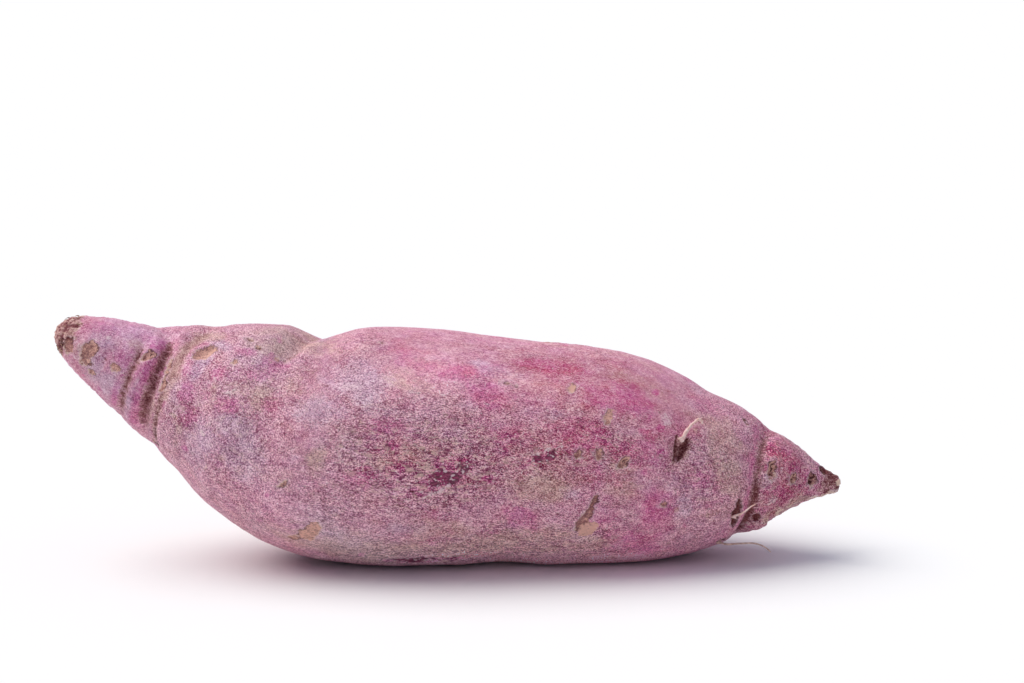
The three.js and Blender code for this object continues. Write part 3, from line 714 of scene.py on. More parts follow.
# %% The tears and scratches
TEARS = [
    # places (along, angle), half-width mm at each place,
    # depth mm, lift mm, which side lifts, brown, dark, pale
    ([(77.9, 19), (78.3, 27), (79.0, 36)], [0.15, 0.95, 0.15], 0.8, 0.10, -1, None, 0.95, 0.0),
    ([(77.5, 18), (77.4, 26), (77.4, 36)], [0.12, 0.36, 0.12], 0.6, 0.10, 1, None, 1.0, 0.0),
    ([(77.6, 20), (77.9, 26), (78.4, 32)], [0.12, 0.25, 0.15], 0.0, 0.60, 1, 0.0, 0.0, 0.35),
    ([(1.3, 335), (1.4, 352), (1.2, 368)], [0.25, 0.45, 0.25], 0.35, 0.10, 1, 1.0, 0.9, 0.0),
    ([(46.0, -11), (48.2, -9), (50.2, -4), (52.2, 2)], [0.15, 0.2, 0.2, 0.15], 0.0, 0.40, 1, 0.0, 0.0, 1.0),
    ([(60.0, 11), (61.8, 15), (63.6, 18)], [0.2, 0.3, 0.2], 0.0, 0.25, 1, 0.0, 0.0, 0.9),
    ([(86.0, 319), (86.3, 336), (86.6, 351)], [0.30, 1.1, 0.45], 0.8, 0.20, 1, 1.1, 0.9, 0.3),
    ([(66.4, 331), (66.8, 335), (67.4, 340), (67.9, 346), (68.4, 354)],
     [0.6, 1.4, 1.2, 0.7, 0.7], 0.70, 0.45, 1, 0.55, 0.0, 1.0),
    ([(66.9, 327), (67.8, 331), (68.8, 336)], [1.2, 2.1, 1.2], 0.08, 0.05, 1, -0.15, 0.0, 0.4),
    ([(44.2, 39), (47.0, 38.5), (50.6, 38.4)], [0.2, 0.3, 0.2], 0.0, 0.16, 1, 0.0, 0.0, 0.7),
    ([(52.5, 37), (55.5, 36)], [0.2, 0.3], 0.0, 0.14, 1, 0.0, 0.0, 0.7),
    ([(55.8, 50), (57.6, 48)], [0.2, 0.3], 0.12, 0.06, 1, 0.5, 0.2, 0.3),
    ([(19.9, 70), (20.8, 66)], [0.4, 0.5], 0.20, 0.15, 1, 0.5, 0.4, 0.5),
    ([(21.2, 62), (22.2, 60)], [0.4, 0.4], 0.22, 0.15, 1, 0.4, 0.4, 0.3),
    ([(24.9, 57), (25.6, 55)], [0.4, 0.4], 0.16, 0.12, 1, 0.1, 0.2, 0.7),
    ([(17.9, 38), (18.9, 32), (19.2, 24)], [0.2, 0.3, 0.2], 0.0, 0.16, -1, 0.0, 0.0, 0.8),
    ([(20.4, 22), (21.2, 27), (21.9, 31)], [0.2, 0.3, 0.2], 0.0, 0.16, 1, 0.0, 0.0, 0.9),
    ([(13.3, 44), (13.4, 28), (13.6, 14)], [0.4, 0.5, 0.4], 0.20, 0.20, -1, 0.3, 0.2, 0.5),
    ([(15.2, -38), (15.6, -48), (16.3, -60)], [0.3, 0.4, 0.3], 0.30, 0.15, 1, 0.6, 0.3, 0.0),
    ([(33.2, 317), (33.8, 323), (34.6, 331)], [1.4, 2.0, 1.2], 0.15, 0.12, -1, 0.15, 0.0, 0.6),
    ([(32.0, 314), (32.8, 317)], [0.7, 1.1], 0.20, 0.10, 1, 0.3, 0.0, 0.3),
    ([(29.9, 345), (30.6, 350)], [0.4, 0.4], 0.12, 0.08, 1, 0.3, 0.2, 0.2),
    ([(60.0, 190), (62.5, 196), (64.0, 200)], [0.4, 0.8, 0.4], 0.45, 0.30, 1, 0.6, 0.4, 0.5),
    ([(30.0, 232), (33.0, 238), (35.0, 240)], [0.3, 0.5, 0.3], 0.30, 0.20, 1, 0.5, 0.3, 0.5),
    ([(74.0, 130), (76.0, 140)], [0.4, 0.6], 0.35, 0.25, 1, 0.5, 0.4, 0.5),
    ([(60.0, 98), (63.0, 101), (67.0, 100)], [0.2, 0.3, 0.2], 0.10, 0.14, 1, 0.3, 0.2, 0.5),
]
print(len(TEARS), "tears and scratches listed,", sum(row[2] == 0 for row in TEARS), "of them without depth")

# %% Tear the skin
NARROWEST, SHUT = 0.06, 0.07
TEAR_SEED, BROKEN_SEED = 600, 640
for number, (places, widths, depth, lift, lifted, brown, dark, pale) in enumerate(TEARS):
    near, off, side, share = trail(places, 5 * max(widths))
    reach = np.interp(share, np.linspace(0, 1, len(widths)), widths)
    reach = reach * ramp(share, 0, 0.03) * ramp(share, 1, 0.97)
    reach = np.maximum(reach * (1 + 0.6 * layered(grain[near], 1.1, 2, TEAR_SEED + number)), NARROWEST)
    slot = ramp(off / reach, 1.25, 0.65) * (reach > SHUT)
    edge = hill(off, 1.4 * reach, 0.32 if depth else 0.50) * (reach > SHUT) * (side == lifted)
    broken = ramp(layered(grain[near], 0.9, 2, BROKEN_SEED + number), -0.45, 0.25)
    height[near] += lift * edge - depth * slot
    soft_dark = ramp(off / reach, 2.1, 0.6) * (brown is None)
    deepest = np.maximum(slot * (0.6 + 0.4 * broken), soft_dark)
    lay(near, pale=pale * edge * broken, cork=dark * ramp(off / reach, 2.6, 0.8), dark=dark * deepest)
    # The outline is pale along the lifted side and dark along the other: partly peeled skin and soil, partly
    # painted light and shade.
    if depth > 0 and brown is not None:
        stale = brown + 0.2 * (side == lifted) * (depth > 0.3)
        carve(near, off - reach, stale, 0.9 * (depth > 0.1), np.where(side == lifted, -0.6, 0.8))
print("bare skin now covers", int((marks["edge"] < 0).sum()), "knots")

# %% [markdown]
# ## The two ends
# At the stalk end the root was pulled off the vine: a cap of dry brown fibres, cracked across. At the other
# end the root tip broke off and healed to a brown knob, with scabby old skin under it.

# %% The stalk end's cap
everywhere = slice(None)
from_end = (skin[..., 0] - root_low.x) / LENGTH * 100
cap_end = 2.5 + 1.5 * np.cos(np.radians(grid_angle - 95)) + 1.1 * layered(grain, 2.4, 3, 71)
cap = ramp(from_end, cap_end + 0.25, cap_end - 0.25)
strands = layered(grain / [3.5, 1, 1], 0.55, 2, seed=73)
height += cap * (0.38 * strands - 0.12)
lip = hill(from_end, cap_end, 0.35)
height += 0.16 * lip * ramp(noise(grain, 1.4, 75), -0.4, 0.4)
lay(everywhere, cork=0.75 * cap, tan=0.9 * cap, pale=0.55 * cap * ramp(strands, 0.10, 0.50))
lay(everywhere, dark=0.85 * cap * ramp(strands, 0.10, -0.35))
lay(everywhere, dark=0.75 * cap * facing_up * ramp(strands, 0.3, -0.1))
lay(everywhere, dark=0.55 * lip * ramp(noise(grain, 1.1, 76), -0.1, 0.4))
print("stalk cap covers", int((cap > 0.5).sum()), "knots")

# %% The crack across the cap
crack_place = 1.15 + 0.6 * upward + 0.35 * noise(grain, 2.0, 74)
torn = hill(from_end, crack_place, 0.26) * ramp(np.cos(np.radians(grid_angle - 20)), -0.2, 0.5)
height -= 0.55 * torn
lay(everywhere, dark=0.9 * torn)
print("crack over", int((torn > 0.5).sum()), "knots")

# %% The tip's knob
to_tip = 100 - from_end
knob = ramp(to_tip, 2.7 + 0.5 * layered(grain, 1.8, 2, 81), 1.7)
lumps = layered(grain, 1.1, 3, seed=82)
height += knob * (0.42 * lumps + 0.10)
lay(everywhere, cork=0.9 * knob, tan=0.2 * knob, pale=0.5 * knob * ramp(lumps, 0.4, 0.65))
lay(everywhere, dark=knob * (0.62 + 0.4 * ramp(lumps, 0.2, -0.3)))
print("tip knob covers", int((knob > 0.5).sum()), "knots")

# %% The scab under the tip
below = ramp(-np.sin(np.radians(grid_angle - 20)), 0.35, 0.8)
scab = below * ramp(to_tip, 14.0, 11.0) * ramp(layered(grain, 2.4, 2, 83), -0.45, 0.15)
flakes = layered(grain / [2.0, 1, 1], 1.3, 3, seed=84)
height += scab * (0.12 + 0.46 * flakes)
lay(everywhere, cork=0.5 * scab * ramp(flakes, -0.1, -0.5), tan=0.8 * scab)
lay(everywhere, dark=0.7 * scab * ramp(flakes, -0.2, -0.55), pale=0.95 * scab * ramp(flakes, 0.0, 0.4))
print("scab covers", int((scab > 0.5).sum()), "knots")

# %% A flap of torn skin under the tip's crease, and the broken tip's cream scar
near, far, x, _ = stamp(89.4, 303, 2.8, 1.8, turn=10, ragged=0.35, seed=91)
height[near] += 1.1 * ramp(far, 1.1, 0.8) * ramp(x, -1.3, 0.9)
lay(near, tan=0.7 * ramp(far, 1.3, 0.7), pale=0.5 * hill(far, 1.0, 0.25))
near, far, _, _ = stamp(99.7, 15, 0.9, 0.7, turn=60, ragged=0.5, seed=92)
height[near] += 0.3 * ramp(far, 1.1, 0.6)
lay(near, pale=ramp(far, 1.1, 0.6), tan=ramp(far, 1.2, 0.8))
print("flap and scar done; the skin now stands out up to", round(float(height.max()), 2), "mm")

# %% [markdown]
# ## Chance marks
# A root that lay in the soil for months is scarred all over, not only where one looks first. Small pores for
# breathing, called lenticels, and nicks from stones and harvest are scattered from a seeded list, so the
# pattern is the same on every run.

# %% Pores and nicks all over
CHANCE_MARKS = 170
CHANCE_SEED = 700
dice = np.random.default_rng(7)
for number in range(CHANCE_MARKS):
    along = dice.uniform(4, 97)
    angle = dice.uniform(0, 360)
    size = dice.uniform(0.28, 0.62)
    turn = dice.normal(90, 25) if number % 3 else dice.normal(0, 25)
    long = size * dice.uniform(1.2, 2.2)
    near, far, _, _ = stamp(along, angle, long, size, turn, ragged=0.5, seed=CHANCE_SEED + number)
    bowl = hill(far, 0, 1)
    kind = number % 5
    height[near] += (0.10 if kind == 0 else -0.12) * bowl
    if kind < 2:
        lay(near, tan=0.8 * ramp(far, 1.4, 0.7), pale=0.4 * ramp(far, 0.9, 0.4))
    elif kind == 2:
        lay(near, dark=0.75 * bowl, cork=0.5 * ramp(far, 1.5, 0.8))
    elif kind == 3:
        lay(near, dark=0.4 * bowl, magenta=0.6 * ramp(far, 2.0, 0.8))
    else:
        lay(near, magenta=0.9 * ramp(far, 2.2, 0.6))
print(CHANCE_MARKS, "pores and nicks scattered")

# %% Coarse scurf stands up in small flakes, drawn out along the root
rough_skin = 0.25 + 0.75 * stains["coarse"]
height += 0.09 * rough_skin * layered(grain / [2.2, 1, 1], 1.25, 2, seed=95)
print("scurf raised on", f"{(stains['coarse'] > 0.3).mean():.0%}", "of the skin")

# %% [markdown]
# ## The skin mesh
# The sheets now become one surface. Each knot moves along its normal by the height sheet, and the stains are
# stored on the mesh as attributes, so that the material can read them. The net is cut along the underside to
# unroll it, which gives every part of the skin its own place on a texture.

# %% Build the skin
rings, threads = height.shape
moved = skin + normals * height[..., None] * MM
moved[..., 2] = np.maximum(moved[..., 2], 0)
poles = np.array([stalk_pole, tip_pole])
for k, ring in enumerate((moved[0], moved[-1])):
    poles[k] += (ring - (skin[0], skin[-1])[k]).mean(0)
points = np.concatenate([moved.reshape(-1, 3), poles])
first = np.arange(threads)
second = (first + 1) % threads
rows = np.arange(rings - 1)[:, None] * threads
quads = np.stack([rows + first, rows + threads + first, rows + threads + second, rows + second], -1)
last = (rings - 1) * threads
stalk_hub = np.full(threads, rings * threads)
stalk_fan = np.stack([stalk_hub, first, second], -1)
tip_fan = np.stack([stalk_hub + 1, last + second, last + first], -1)
faces = quads.reshape(-1, 4).tolist() + stalk_fan.tolist() + tip_fan.tolist()
skin_mesh = bpy.data.meshes.new("skin_of_root")
skin_mesh.from_pydata(points.tolist(), [], faces)
skin_mesh.shade_smooth()
print(len(points), "knots,", len(faces), "faces")

# %% Turn the faces outwards if need be
RING, THREAD = 200, 60
outward = Vector(out_grid[RING, THREAD])
if skin_mesh.polygons[RING * threads + THREAD].normal.dot(outward) < 0:
    skin_mesh.flip_normals()
print("faces point outwards:", skin_mesh.polygons[RING * threads + THREAD].normal.dot(outward) > 0)

# %% How high each ring lies on the unrolled net
MARGIN = 0.01
END_ROOM = 1.0
HUB_HEIGHTS = (0.004, 0.996)
ring_at = np.linalg.norm(np.diff(skin, axis=0), axis=-1).mean(1).cumsum() / MM
ring_height = np.concatenate([[0], ring_at]) + END_ROOM
ring_height = MARGIN + (1 - 2 * MARGIN) * ring_height / (ring_height[-1] + END_ROOM)
print("the net unrolls to", round(float(ring_at[-1])), "mm from its first ring to its last")

# %% Unroll the net
corner_verts = np.empty(len(skin_mesh.loops), np.int32)
skin_mesh.loops.foreach_get("vertex_index", corner_verts)
ring_of = np.minimum(corner_verts // threads, rings - 1)
thread_of = (corner_verts % threads).astype(float)
is_pole = corner_verts >= rings * threads
starts = np.array([face.loop_start for face in skin_mesh.polygons])
counts = np.array([face.loop_total for face in skin_mesh.polygons])
face_of = np.repeat(np.arange(len(starts)), counts)
widest = np.maximum.reduceat(np.where(is_pole, -1, thread_of), starts)[face_of]
smallest = np.minimum.reduceat(np.where(is_pole, threads, thread_of), starts)[face_of]
# A face that crosses the cut reaches past the last thread instead of back to the first.
across_seam = (widest == threads - 1) & (smallest == 0)
thread_of[across_seam & (thread_of == 0) & ~is_pole] = threads
middle = np.where(across_seam, threads - 0.5, (widest + smallest) / 2)
thread_of[is_pole] = middle[is_pole]
hub_height = np.where(corner_verts == rings * threads, *HUB_HEIGHTS)
v = np.where(is_pole, hub_height, ring_height[ring_of])
unrolled = np.stack([MARGIN + (1 - 2 * MARGIN) * thread_of / threads, v], -1)
skin_mesh.uv_layers.new(name="OFBake").data.foreach_set("uv", unrolled.ravel().astype(np.float32))
print("unrolled over", np.round(unrolled.min(0), 3), "to", np.round(unrolled.max(0), 3))

# %% Store the stains and the grain on the mesh
def store(name, sheet, kind="FLOAT", place="value"):
    """One number or vector for each knot; the two poles take the mean of the ring next to them."""
    ends = np.stack([sheet[0].mean(0), sheet[-1].mean(0)])
    values = np.concatenate([sheet.reshape(rings * threads, -1), ends.reshape(2, -1)])
    skin_mesh.attributes.new(name, kind, "POINT").data.foreach_set(place, values.ravel().astype(np.float32))


for name, sheet in {**stains, **marks}.items():
    store(name, sheet)
store("grain", grain, "FLOAT_VECTOR", "vector")
print("stored on the mesh:", ", ".join([*stains, *marks]), "and grain")

# %% Put the skin in the scene
skin_of_root = bpy.data.objects.new("skin_of_root", skin_mesh)
bpy.context.scene.collection.objects.link(skin_of_root)
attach(skin_of_root, "root")
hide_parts("storage_root")
print(skin_of_root.name, "stands in for the plain solid")

# %% [markdown]
# ## Finishes
# A finish is a small circuit: patterns go in at the left and one shader comes out at the right. Two helpers
# keep it readable. One adds a part to the circuit and joins its wires. The other lets the values that run
# through the wires be added and multiplied like plain numbers, so that each finish below reads as a recipe.

# %% Helper: values that run through a circuit
class Signal:
    """A value in a circuit; working something out with it puts in the part that does so."""

    def __init__(self, wire, socket):
        self.wire = wire
        self.socket = socket

    def work(self, operation, first, second):
        return self.wire("Math", {0: first, 1: second}, operation=operation)

    def __add__(self, other):
        return self.work("ADD", self, other)

    def __sub__(self, other):
        return self.work("SUBTRACT", self, other)

    def __rsub__(self, other):
        return self.work("SUBTRACT", other, self)

    def __mul__(self, other):
        return self.work("MULTIPLY", self, other)

    def __abs__(self):
        return self.work("ABSOLUTE", self, 0.0)

    def at_least(self, other):
        """The larger of the two."""
        return self.work("MAXIMUM", self, other)

    def at_most(self, other):
        """The smaller of the two."""
        return self.work("MINIMUM", self, other)


print("signals can be worked out with + - * abs, at_least and at_most")

# %% Helpers: wiring
def wiring(tree):
    """A function that adds one part to a circuit and joins its wires."""
    def wire(kind, sockets, out=0, **settings):
        node = tree.nodes.new("ShaderNode" + kind)
        for key, value in settings.items():
            setattr(node, key, value)
        for key, value in sockets.items():
            if isinstance(value, Signal):
                tree.links.new(value.socket, node.inputs[key])
            else:
                node.inputs[key].default_value = value
        return Signal(wire, node.outputs[out])

    return wire


def plug(signal, shader, socket):
    """Join a value to one of a shader's sockets."""
    shader.id_data.links.new(signal.socket, shader.inputs[socket])


def start_finish(name, roughness, sheen=0.0):
    """A new material with its shader and its wiring."""
    finish = bpy.data.materials.new(name)
    finish.use_nodes = True
    shader = finish.node_tree.nodes["Principled BSDF"]
    shader.inputs["Roughness"].default_value = roughness
    shader.inputs["Specular IOR Level"].default_value = 0.3
    if sheen:
        shader.inputs["Sheen Weight"].default_value = sheen
        shader.inputs["Sheen Roughness"].default_value = 0.6
    return finish, shader, wiring(finish.node_tree)


print("wiring ready")

# %% Helper: colours off a colour card
def paint(red, green, blue):
    """A colour as it is read off a colour card, 0 to 255, turned into the linear values that shaders use."""
    parts = [c / 255 for c in (red, green, blue)]
    return tuple(c / 12.92 if c < 0.04045 else ((c + 0.055) / 1.055) ** 2.4 for c in parts) + (1.0,)


print("mid skin colour, linear:", [round(c, 3) for c in paint(172, 118, 140)])

# %% [markdown]
# ## The skin's finish
# Seen close, the skin is a fine speckle: dark flesh showing between pale dusty flakes, a little drawn out
# along the belly. So the finish starts as one grey pattern from dark to light. Four colour scales then turn
# that pattern into mauve, magenta, lilac or tan, and the sheets and some broad noise say which scale rules
# where. Fine noise takes part in the choice, so the colours mingle at their borders fleck by fleck.

# %% Start the skin's finish
skin_finish, shader, wire = start_finish("dusty_purple_skin", 0.7, sheen=0.05)
fibre_place = wire("Attribute", {}, out=1, attribute_name="grain")
sheet = {name: wire("Attribute", {}, out=2, attribute_name=name) for name in STAINS}
mark = {name: wire("Attribute", {}, out=2, attribute_name=name) for name in marks}


def cloud(per_mm, detail=2.0, stretch=1.0, rough=0.55, shift=0.0):
    """Noise over the skin, measured in mm and drawn out along the fibres; its mean is a half."""
    place = wire("VectorMath", {0: fibre_place, 1: (1 / stretch, 1.0, 1.0)}, operation="MULTIPLY")
    place = wire("VectorMath", {0: place, 1: (shift, shift, shift)}, operation="ADD")
    return wire("TexNoise", {"Vector": place, "Scale": per_mm, "Detail": detail, "Roughness": rough})


def step(value, low, high):
    """0 below low and 1 above high; low may be the larger."""
    ends = {"Value": value, "From Min": low, "From Max": high}
    return wire("MapRange", ends, interpolation_type="SMOOTHSTEP")


def over(under, colour, amount):
    """A colour laid over another; a Mix takes its share at socket 0 and its two colours at 6 and 7."""
    return wire("Mix", {0: amount, 6: under, 7: colour}, out=2, data_type="RGBA")


print("the finish reads", len(sheet), "stains and", len(mark), "marks")

# %% Noise of several sizes
FLECKS_PER_MM = 4.2
DASHES_PER_MM = 1.9


def drawn_out(neck, belly):
    """One cloud on the neck and the tip, changing into another along the belly."""
    return wire("Mix", {0: mark["drawn"], 2: neck, 3: belly})


# Each cloud is given per mm, layers of detail, how far drawn out, roughness and a shift of its own.
flecks = drawn_out(cloud(FLECKS_PER_MM, 1.0, 1.1, 0.6), cloud(5.2, 1.0, 1.9, 0.6, 17.0))
dashes = drawn_out(cloud(DASHES_PER_MM, 2.0, 1.3, 0.6, 31.0), cloud(2.3, 2.0, 2.3, 0.6, 37.0))
wavy = cloud(1.6, 3.0, 3.6, 0.6, 43.0)
hues = cloud(2.2, 2.0, 1.5, 0.65, 211.0)
clumps = cloud(0.42, 3.0, 1.6, 0.6, 57.0)
print("flecks of about", round(1 / FLECKS_PER_MM, 2), "mm, over dashes of", round(1 / DASHES_PER_MM, 2), "mm")

# %% Where the scurf is coarse
broad = step(cloud(0.06, 2.0, 1.5, 0.5, 83.0), 0.45, 0.65) * 0.30
coarse = sheet["coarse"] + broad * (1.0 - sheet["coarse"])
flaky = coarse.at_least(0.0)
smooth = sheet["coarse"].at_most(0.0)
print("the coarse sheet runs from", round(float(stains["coarse"].min()), 2), "where smooth to",
      round(float(stains["coarse"].max()), 2))

# %% Wire the speckle
pattern = (flecks - 0.5) * (smooth * 0.35 + 0.60) + (dashes - 0.5) * 0.26 + (clumps - 0.5) * 0.16
contrast = coarse * 1.7 + 4.2 + mark["light"].at_least(0.0) * 0.4
pattern = pattern * contrast + (0.53 - coarse * 0.09)
pattern = pattern + (wavy - 0.5) * flaky * 1.5
pattern = pattern + mark["light"] * 0.03
print("speckle wired, with", len(skin_finish.node_tree.nodes), "parts so far")

# %% Thin lines along the fibres
def wavy_lines(shift, per_mm=0.60, stretch=3.4, thin=0.065):
    """Thin broken lines along the fibres: they run where smooth noise crosses its mean."""
    wave = abs(cloud(per_mm, 2.0, stretch, 0.6, shift) - 0.5)
    broken = step(cloud(0.8, 1.0, 1.5, 0.5, shift + 9), 0.46, 0.58)
    return step(wave, thin, 0.25 * thin) * broken * flaky


threads_up = wavy_lines(261.0)
threads_down = wavy_lines(281.0, 0.75, 2.8)
print("raised and sunken lines wired")

# %% Wire the four colour scales
SCALE_PLACES = (0.02, 0.32, 0.66, 0.98)


def scale(*shades):
    """The speckle painted on a scale from dark to light."""
    painted = wire("ValToRGB", {0: pattern})
    stops = painted.socket.node.color_ramp.elements
    for stop, end in ((stops[0], 0), (stops[1], -1)):
        stop.position = SCALE_PLACES[end]
        stop.color = paint(*shades[end])
    for place, shade in zip(SCALE_PLACES[1:-1], shades[1:-1]):
        stops.new(place).color = paint(*shade)
    return painted


mauve = scale((100, 36, 62), (174, 102, 127), (220, 160, 180), (255, 218, 226))
magenta = scale((106, 28, 68), (174, 72, 118), (212, 118, 160), (244, 180, 206))
lilac = scale((104, 60, 88), (178, 131, 157), (219, 180, 201), (250, 222, 234))
tan = scale((106, 62, 66), (180, 129, 129), (216, 173, 168), (244, 213, 207))
print("four scales of", len(SCALE_PLACES), "shades")

# %% Lay the colours over one another
def share_of(name, wide, low, high):
    """How far a colour rules: its sheet, broad noise and fine noise decide together."""
    return step(sheet[name] + (wide - 0.5) * 1.8 + (hues - 0.5) * 1.2, low, high)


colour = over(mauve, lilac, share_of("lilac", cloud(0.11, 4.0, 1.4, 0.65, 101.0), 0.05, 0.75) * 0.85)
colour = over(colour, tan, share_of("tan", cloud(0.14, 4.0, 2.2, 0.65, 113.0), 0.12, 0.85) * 0.85)
colour = over(colour, magenta, share_of("magenta", cloud(0.13, 4.0, 1.4, 0.65, 127.0), 0.10, 0.85) * 0.9)
turn = (cloud(0.30, 4.0, 1.5, 0.7, 151.0) - 0.5) * 0.08 + 0.5 + mark["warm"] * 0.035
vivid = (cloud(0.26, 3.0, 1.3, 0.6, 163.0) - 0.5) * 0.35 + 1.03 + mark["strong"]
bright = mark["light"] * 0.22 + 1.10
colour = wire("HueSaturation", {"Hue": turn, "Saturation": vivid, "Value": bright, "Color": colour})
print("colours laid, then shifted in hue, strength and brightness")

# %% Crumbs and painted glints, lines and deep spots
# Pale crumbs of dried starch; they also stand for tiny glints, so they are partly a painted highlight.
crumbs_and_glints = step(cloud(3.0, 1.0, 1.3, 0.5, 171.0), 0.63, 0.70) * (coarse * 0.35 + 0.62)
colour = over(colour, paint(255, 228, 232), crumbs_and_glints)
colour = over(colour, paint(118, 44, 80), threads_down * 0.60)
strings = step(cloud(1.5, 2.0, 5.0, 0.55, 221.0), 0.58, 0.70) * (flaky * 0.45)
colour = over(colour, paint(236, 202, 190), strings.at_least(threads_up * 0.65))
deep_spots = step(cloud(0.9, 1.0, 1.4, 0.5, 301.0), 0.64, 0.70) * (flaky * 0.75)
colour = over(colour, paint(126, 44, 82), deep_spots)
print("crumbs, lines and deep spots wired")

# %% [markdown]
# ## Cork, dust and pits
# Cork is dead brown skin and dust is dried starch, so both lie over the colours. Their sheets have soft
# edges. A soft edge would look sprayed on, so noise is added to the sheet before it is cut off: the stain
# then breaks up into chips, as flaking skin does. The pits are cut out of noise in the same way.

# %% Wire cork and dust
chips = cloud(1.3, 3.0, 1.2, 0.7, 7.0)
chipped = (chips - 0.5) * 1.5
cork_paint = scale((98, 46, 52), (152, 101, 101), (192, 149, 142), (230, 198, 186))
colour = over(colour, cork_paint, step(sheet["cork"] + chipped, 0.25, 0.95) * 0.85)
dusting = sheet["pale"] + chipped + (flecks - 0.5) * 1.3
dust_paint = over(paint(250, 222, 226), paint(244, 214, 192), step(sheet["tan"], 0.5, 0.9))
colour = over(colour, dust_paint, step(dusting, 0.30, 0.75) * 0.8)
print("cork and dust wired")

# %% Wire the pits
wanted = (sheet["pitted"] - 0.75) * 0.30
pit = step(cloud(0.55, 1.0, 1.3, 0.5, 201.0) + wanted, 0.44, 0.50) * step(sheet["pitted"], 0.02, 0.2)
pit_paint = over(paint(154, 62, 98), paint(110, 58, 78), step(dashes, 0.56, 0.46))
colour = over(colour, pit_paint, pit * 0.88)
crumb = step(cloud(1.5, 1.0, 1.2, 0.5, 211.0), 0.58, 0.66) * step(sheet["pitted"], 0.45, 0.8)
colour = over(colour, paint(240, 214, 220), crumb * 0.85)
print("pits wired")

# %% [markdown]
# ## Crisp marks
# Eyes and torn places have sharp edges, finer than the net's knots. A stain that fades from knot to knot
# can't show those. The edge sheet can: it holds a distance, which changes evenly from knot to knot, and the
# finish draws the line just where that distance is nought, made ragged by fine noise. An outline is painted
# dark along the upper lip and pale along the lower one. That stands for soil and peeling skin, and also for
# shade and light on lips finer than the net. Being painted, it doesn't move when the lamp does.

# %% Wire the insides of crisp marks
gap = mark["edge"] + (cloud(1.0, 3.0, 1.0, 0.75, 181.0) - 0.5) * 2.6
inside = step(gap, 0.16, -0.16)
stale = mark["brown"] + (chips - 0.5) * 2.2 + (flecks - 0.5) * 2.0
bare_paint = over(paint(240, 188, 168), paint(168, 114, 104), step(stale, -0.1, 0.55))
bare_paint = over(bare_paint, paint(92, 42, 42), step(stale, 0.45, 1.15))
halo = step(gap, 0.80, 0.30) * (1.0 - inside) * 0.30
colour = over(colour, paint(226, 192, 204), halo * mark["outline"])
colour = over(colour, bare_paint, inside * 0.88)
print("bare skin wired")

# %% Wire their outlines
unbroken = cloud(0.55, 2.0, 1.0, 0.5, 191.0) - 0.5 + mark["outline"] * 0.14
outline = step(gap, -0.34, -0.06) * step(gap, 0.26, 0.04) * step(unbroken, -0.04, 0.12)
ragged = mark["shade"] + (dashes - 0.5) * 1.5
outline_paint = over(paint(236, 204, 192), paint(88, 44, 50), step(ragged, -0.35, 0.25))
colour = over(colour, outline_paint, outline * mark["outline"] * 0.9)
print("outlines wired, dark along the upper lips and pale along the lower ones")

# %% Wire cracks and slits
corky = sheet["cork"].at_least(inside)
deepest = over(paint(96, 26, 56), paint(88, 32, 38), corky)
shallow = over(paint(150, 62, 98), paint(144, 86, 84), corky)
crack_paint = over(deepest, shallow, step(pattern, 0.20, 0.95))
darkness = step(sheet["dark"] + chipped, 0.30, 0.85) * (0.9 - step(sheet["pale"], 0.2, 0.9) * 0.88)
colour = over(colour, crack_paint, darkness)
slit = step(mark["slit"] + (cloud(1.2, 2.0, 1.0, 0.6, 231.0) - 0.5) * 0.9, 0.26, 0.10)
colour = over(colour, paint(72, 34, 36), slit * 0.85)
plug(colour, shader, "Base Color")
print("cracks and slits wired")

# %% [markdown]
# ## Shine and fine relief
# The skin is nearly matt. Rubbed magenta skin is a little smoother than dusty skin, and cracks don't shine at
# all. The relief finer than the net is a bump: it only bends the light, which is enough at this size.

# %% Wire the shine and the bump
plug(pattern * 0.18 + 0.56 + sheet["magenta"] * -0.10, shader, "Roughness")
plug(darkness.at_least(slit.at_least(pit)) * -0.18 + 0.20, shader, "Specular IOR Level")
relief = pattern * 0.6 + (chips * corky - inside)
relief = relief - pit.at_least(slit) * 1.2
relief = relief + (threads_up - threads_down) * 0.8
plug(wire("Bump", {"Height": relief, "Strength": 0.7, "Distance": 0.14 * MM}), shader, "Normal")
skin_mesh.materials.append(skin_finish)
print("finish ready:", skin_finish.name, "with", len(skin_finish.node_tree.nodes), "parts")

# %% [markdown]
# ## Rootlets
# Three thin feeding roots are left, dried to pale threads. Each is a tube drawn along a line. The solid
# model already has them as plain tubes, so the line is found by walking along such a tube ring by ring, and
# the new thread gets its kinks and its uneven girth from noise. The one in the slanting eye ends in a hook.

# %% Find the middle line of a plain tube
TUBE_SIDES = 8


def off_the_skin(vert):
    """How far a corner of the solid is from the skin, squared."""
    return ((skin - np.array(vert.co)) ** 2).sum(-1).min()


def middle_line(node):
    """The centres of a tube's rings, from the end that stands on the root."""
    work = bmesh.new()
    work.from_mesh(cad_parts[node].data)
    bmesh.ops.remove_doubles(work, verts=work.verts, dist=1e-7)
    ends = [vert for vert in work.verts if len(vert.link_edges) == TUBE_SIDES]
    layer, seen, line = {min(ends, key=off_the_skin)}, set(), []
    while layer:
        line.append(np.mean([vert.co for vert in layer], axis=0))
        seen |= layer
        layer = {edge.other_vert(vert) for vert in layer for edge in vert.link_edges} - seen
    work.free()
    return np.array(line)


ROOTLETS = ("rootlet_in_slanting_eye", "rootlet_in_tip_scar", "rootlet_trailing")
for name in ROOTLETS:
    line = middle_line(name)
    print(name, round(float(np.linalg.norm(np.diff(line, axis=0), axis=1).sum()) / MM, 1), "mm long")

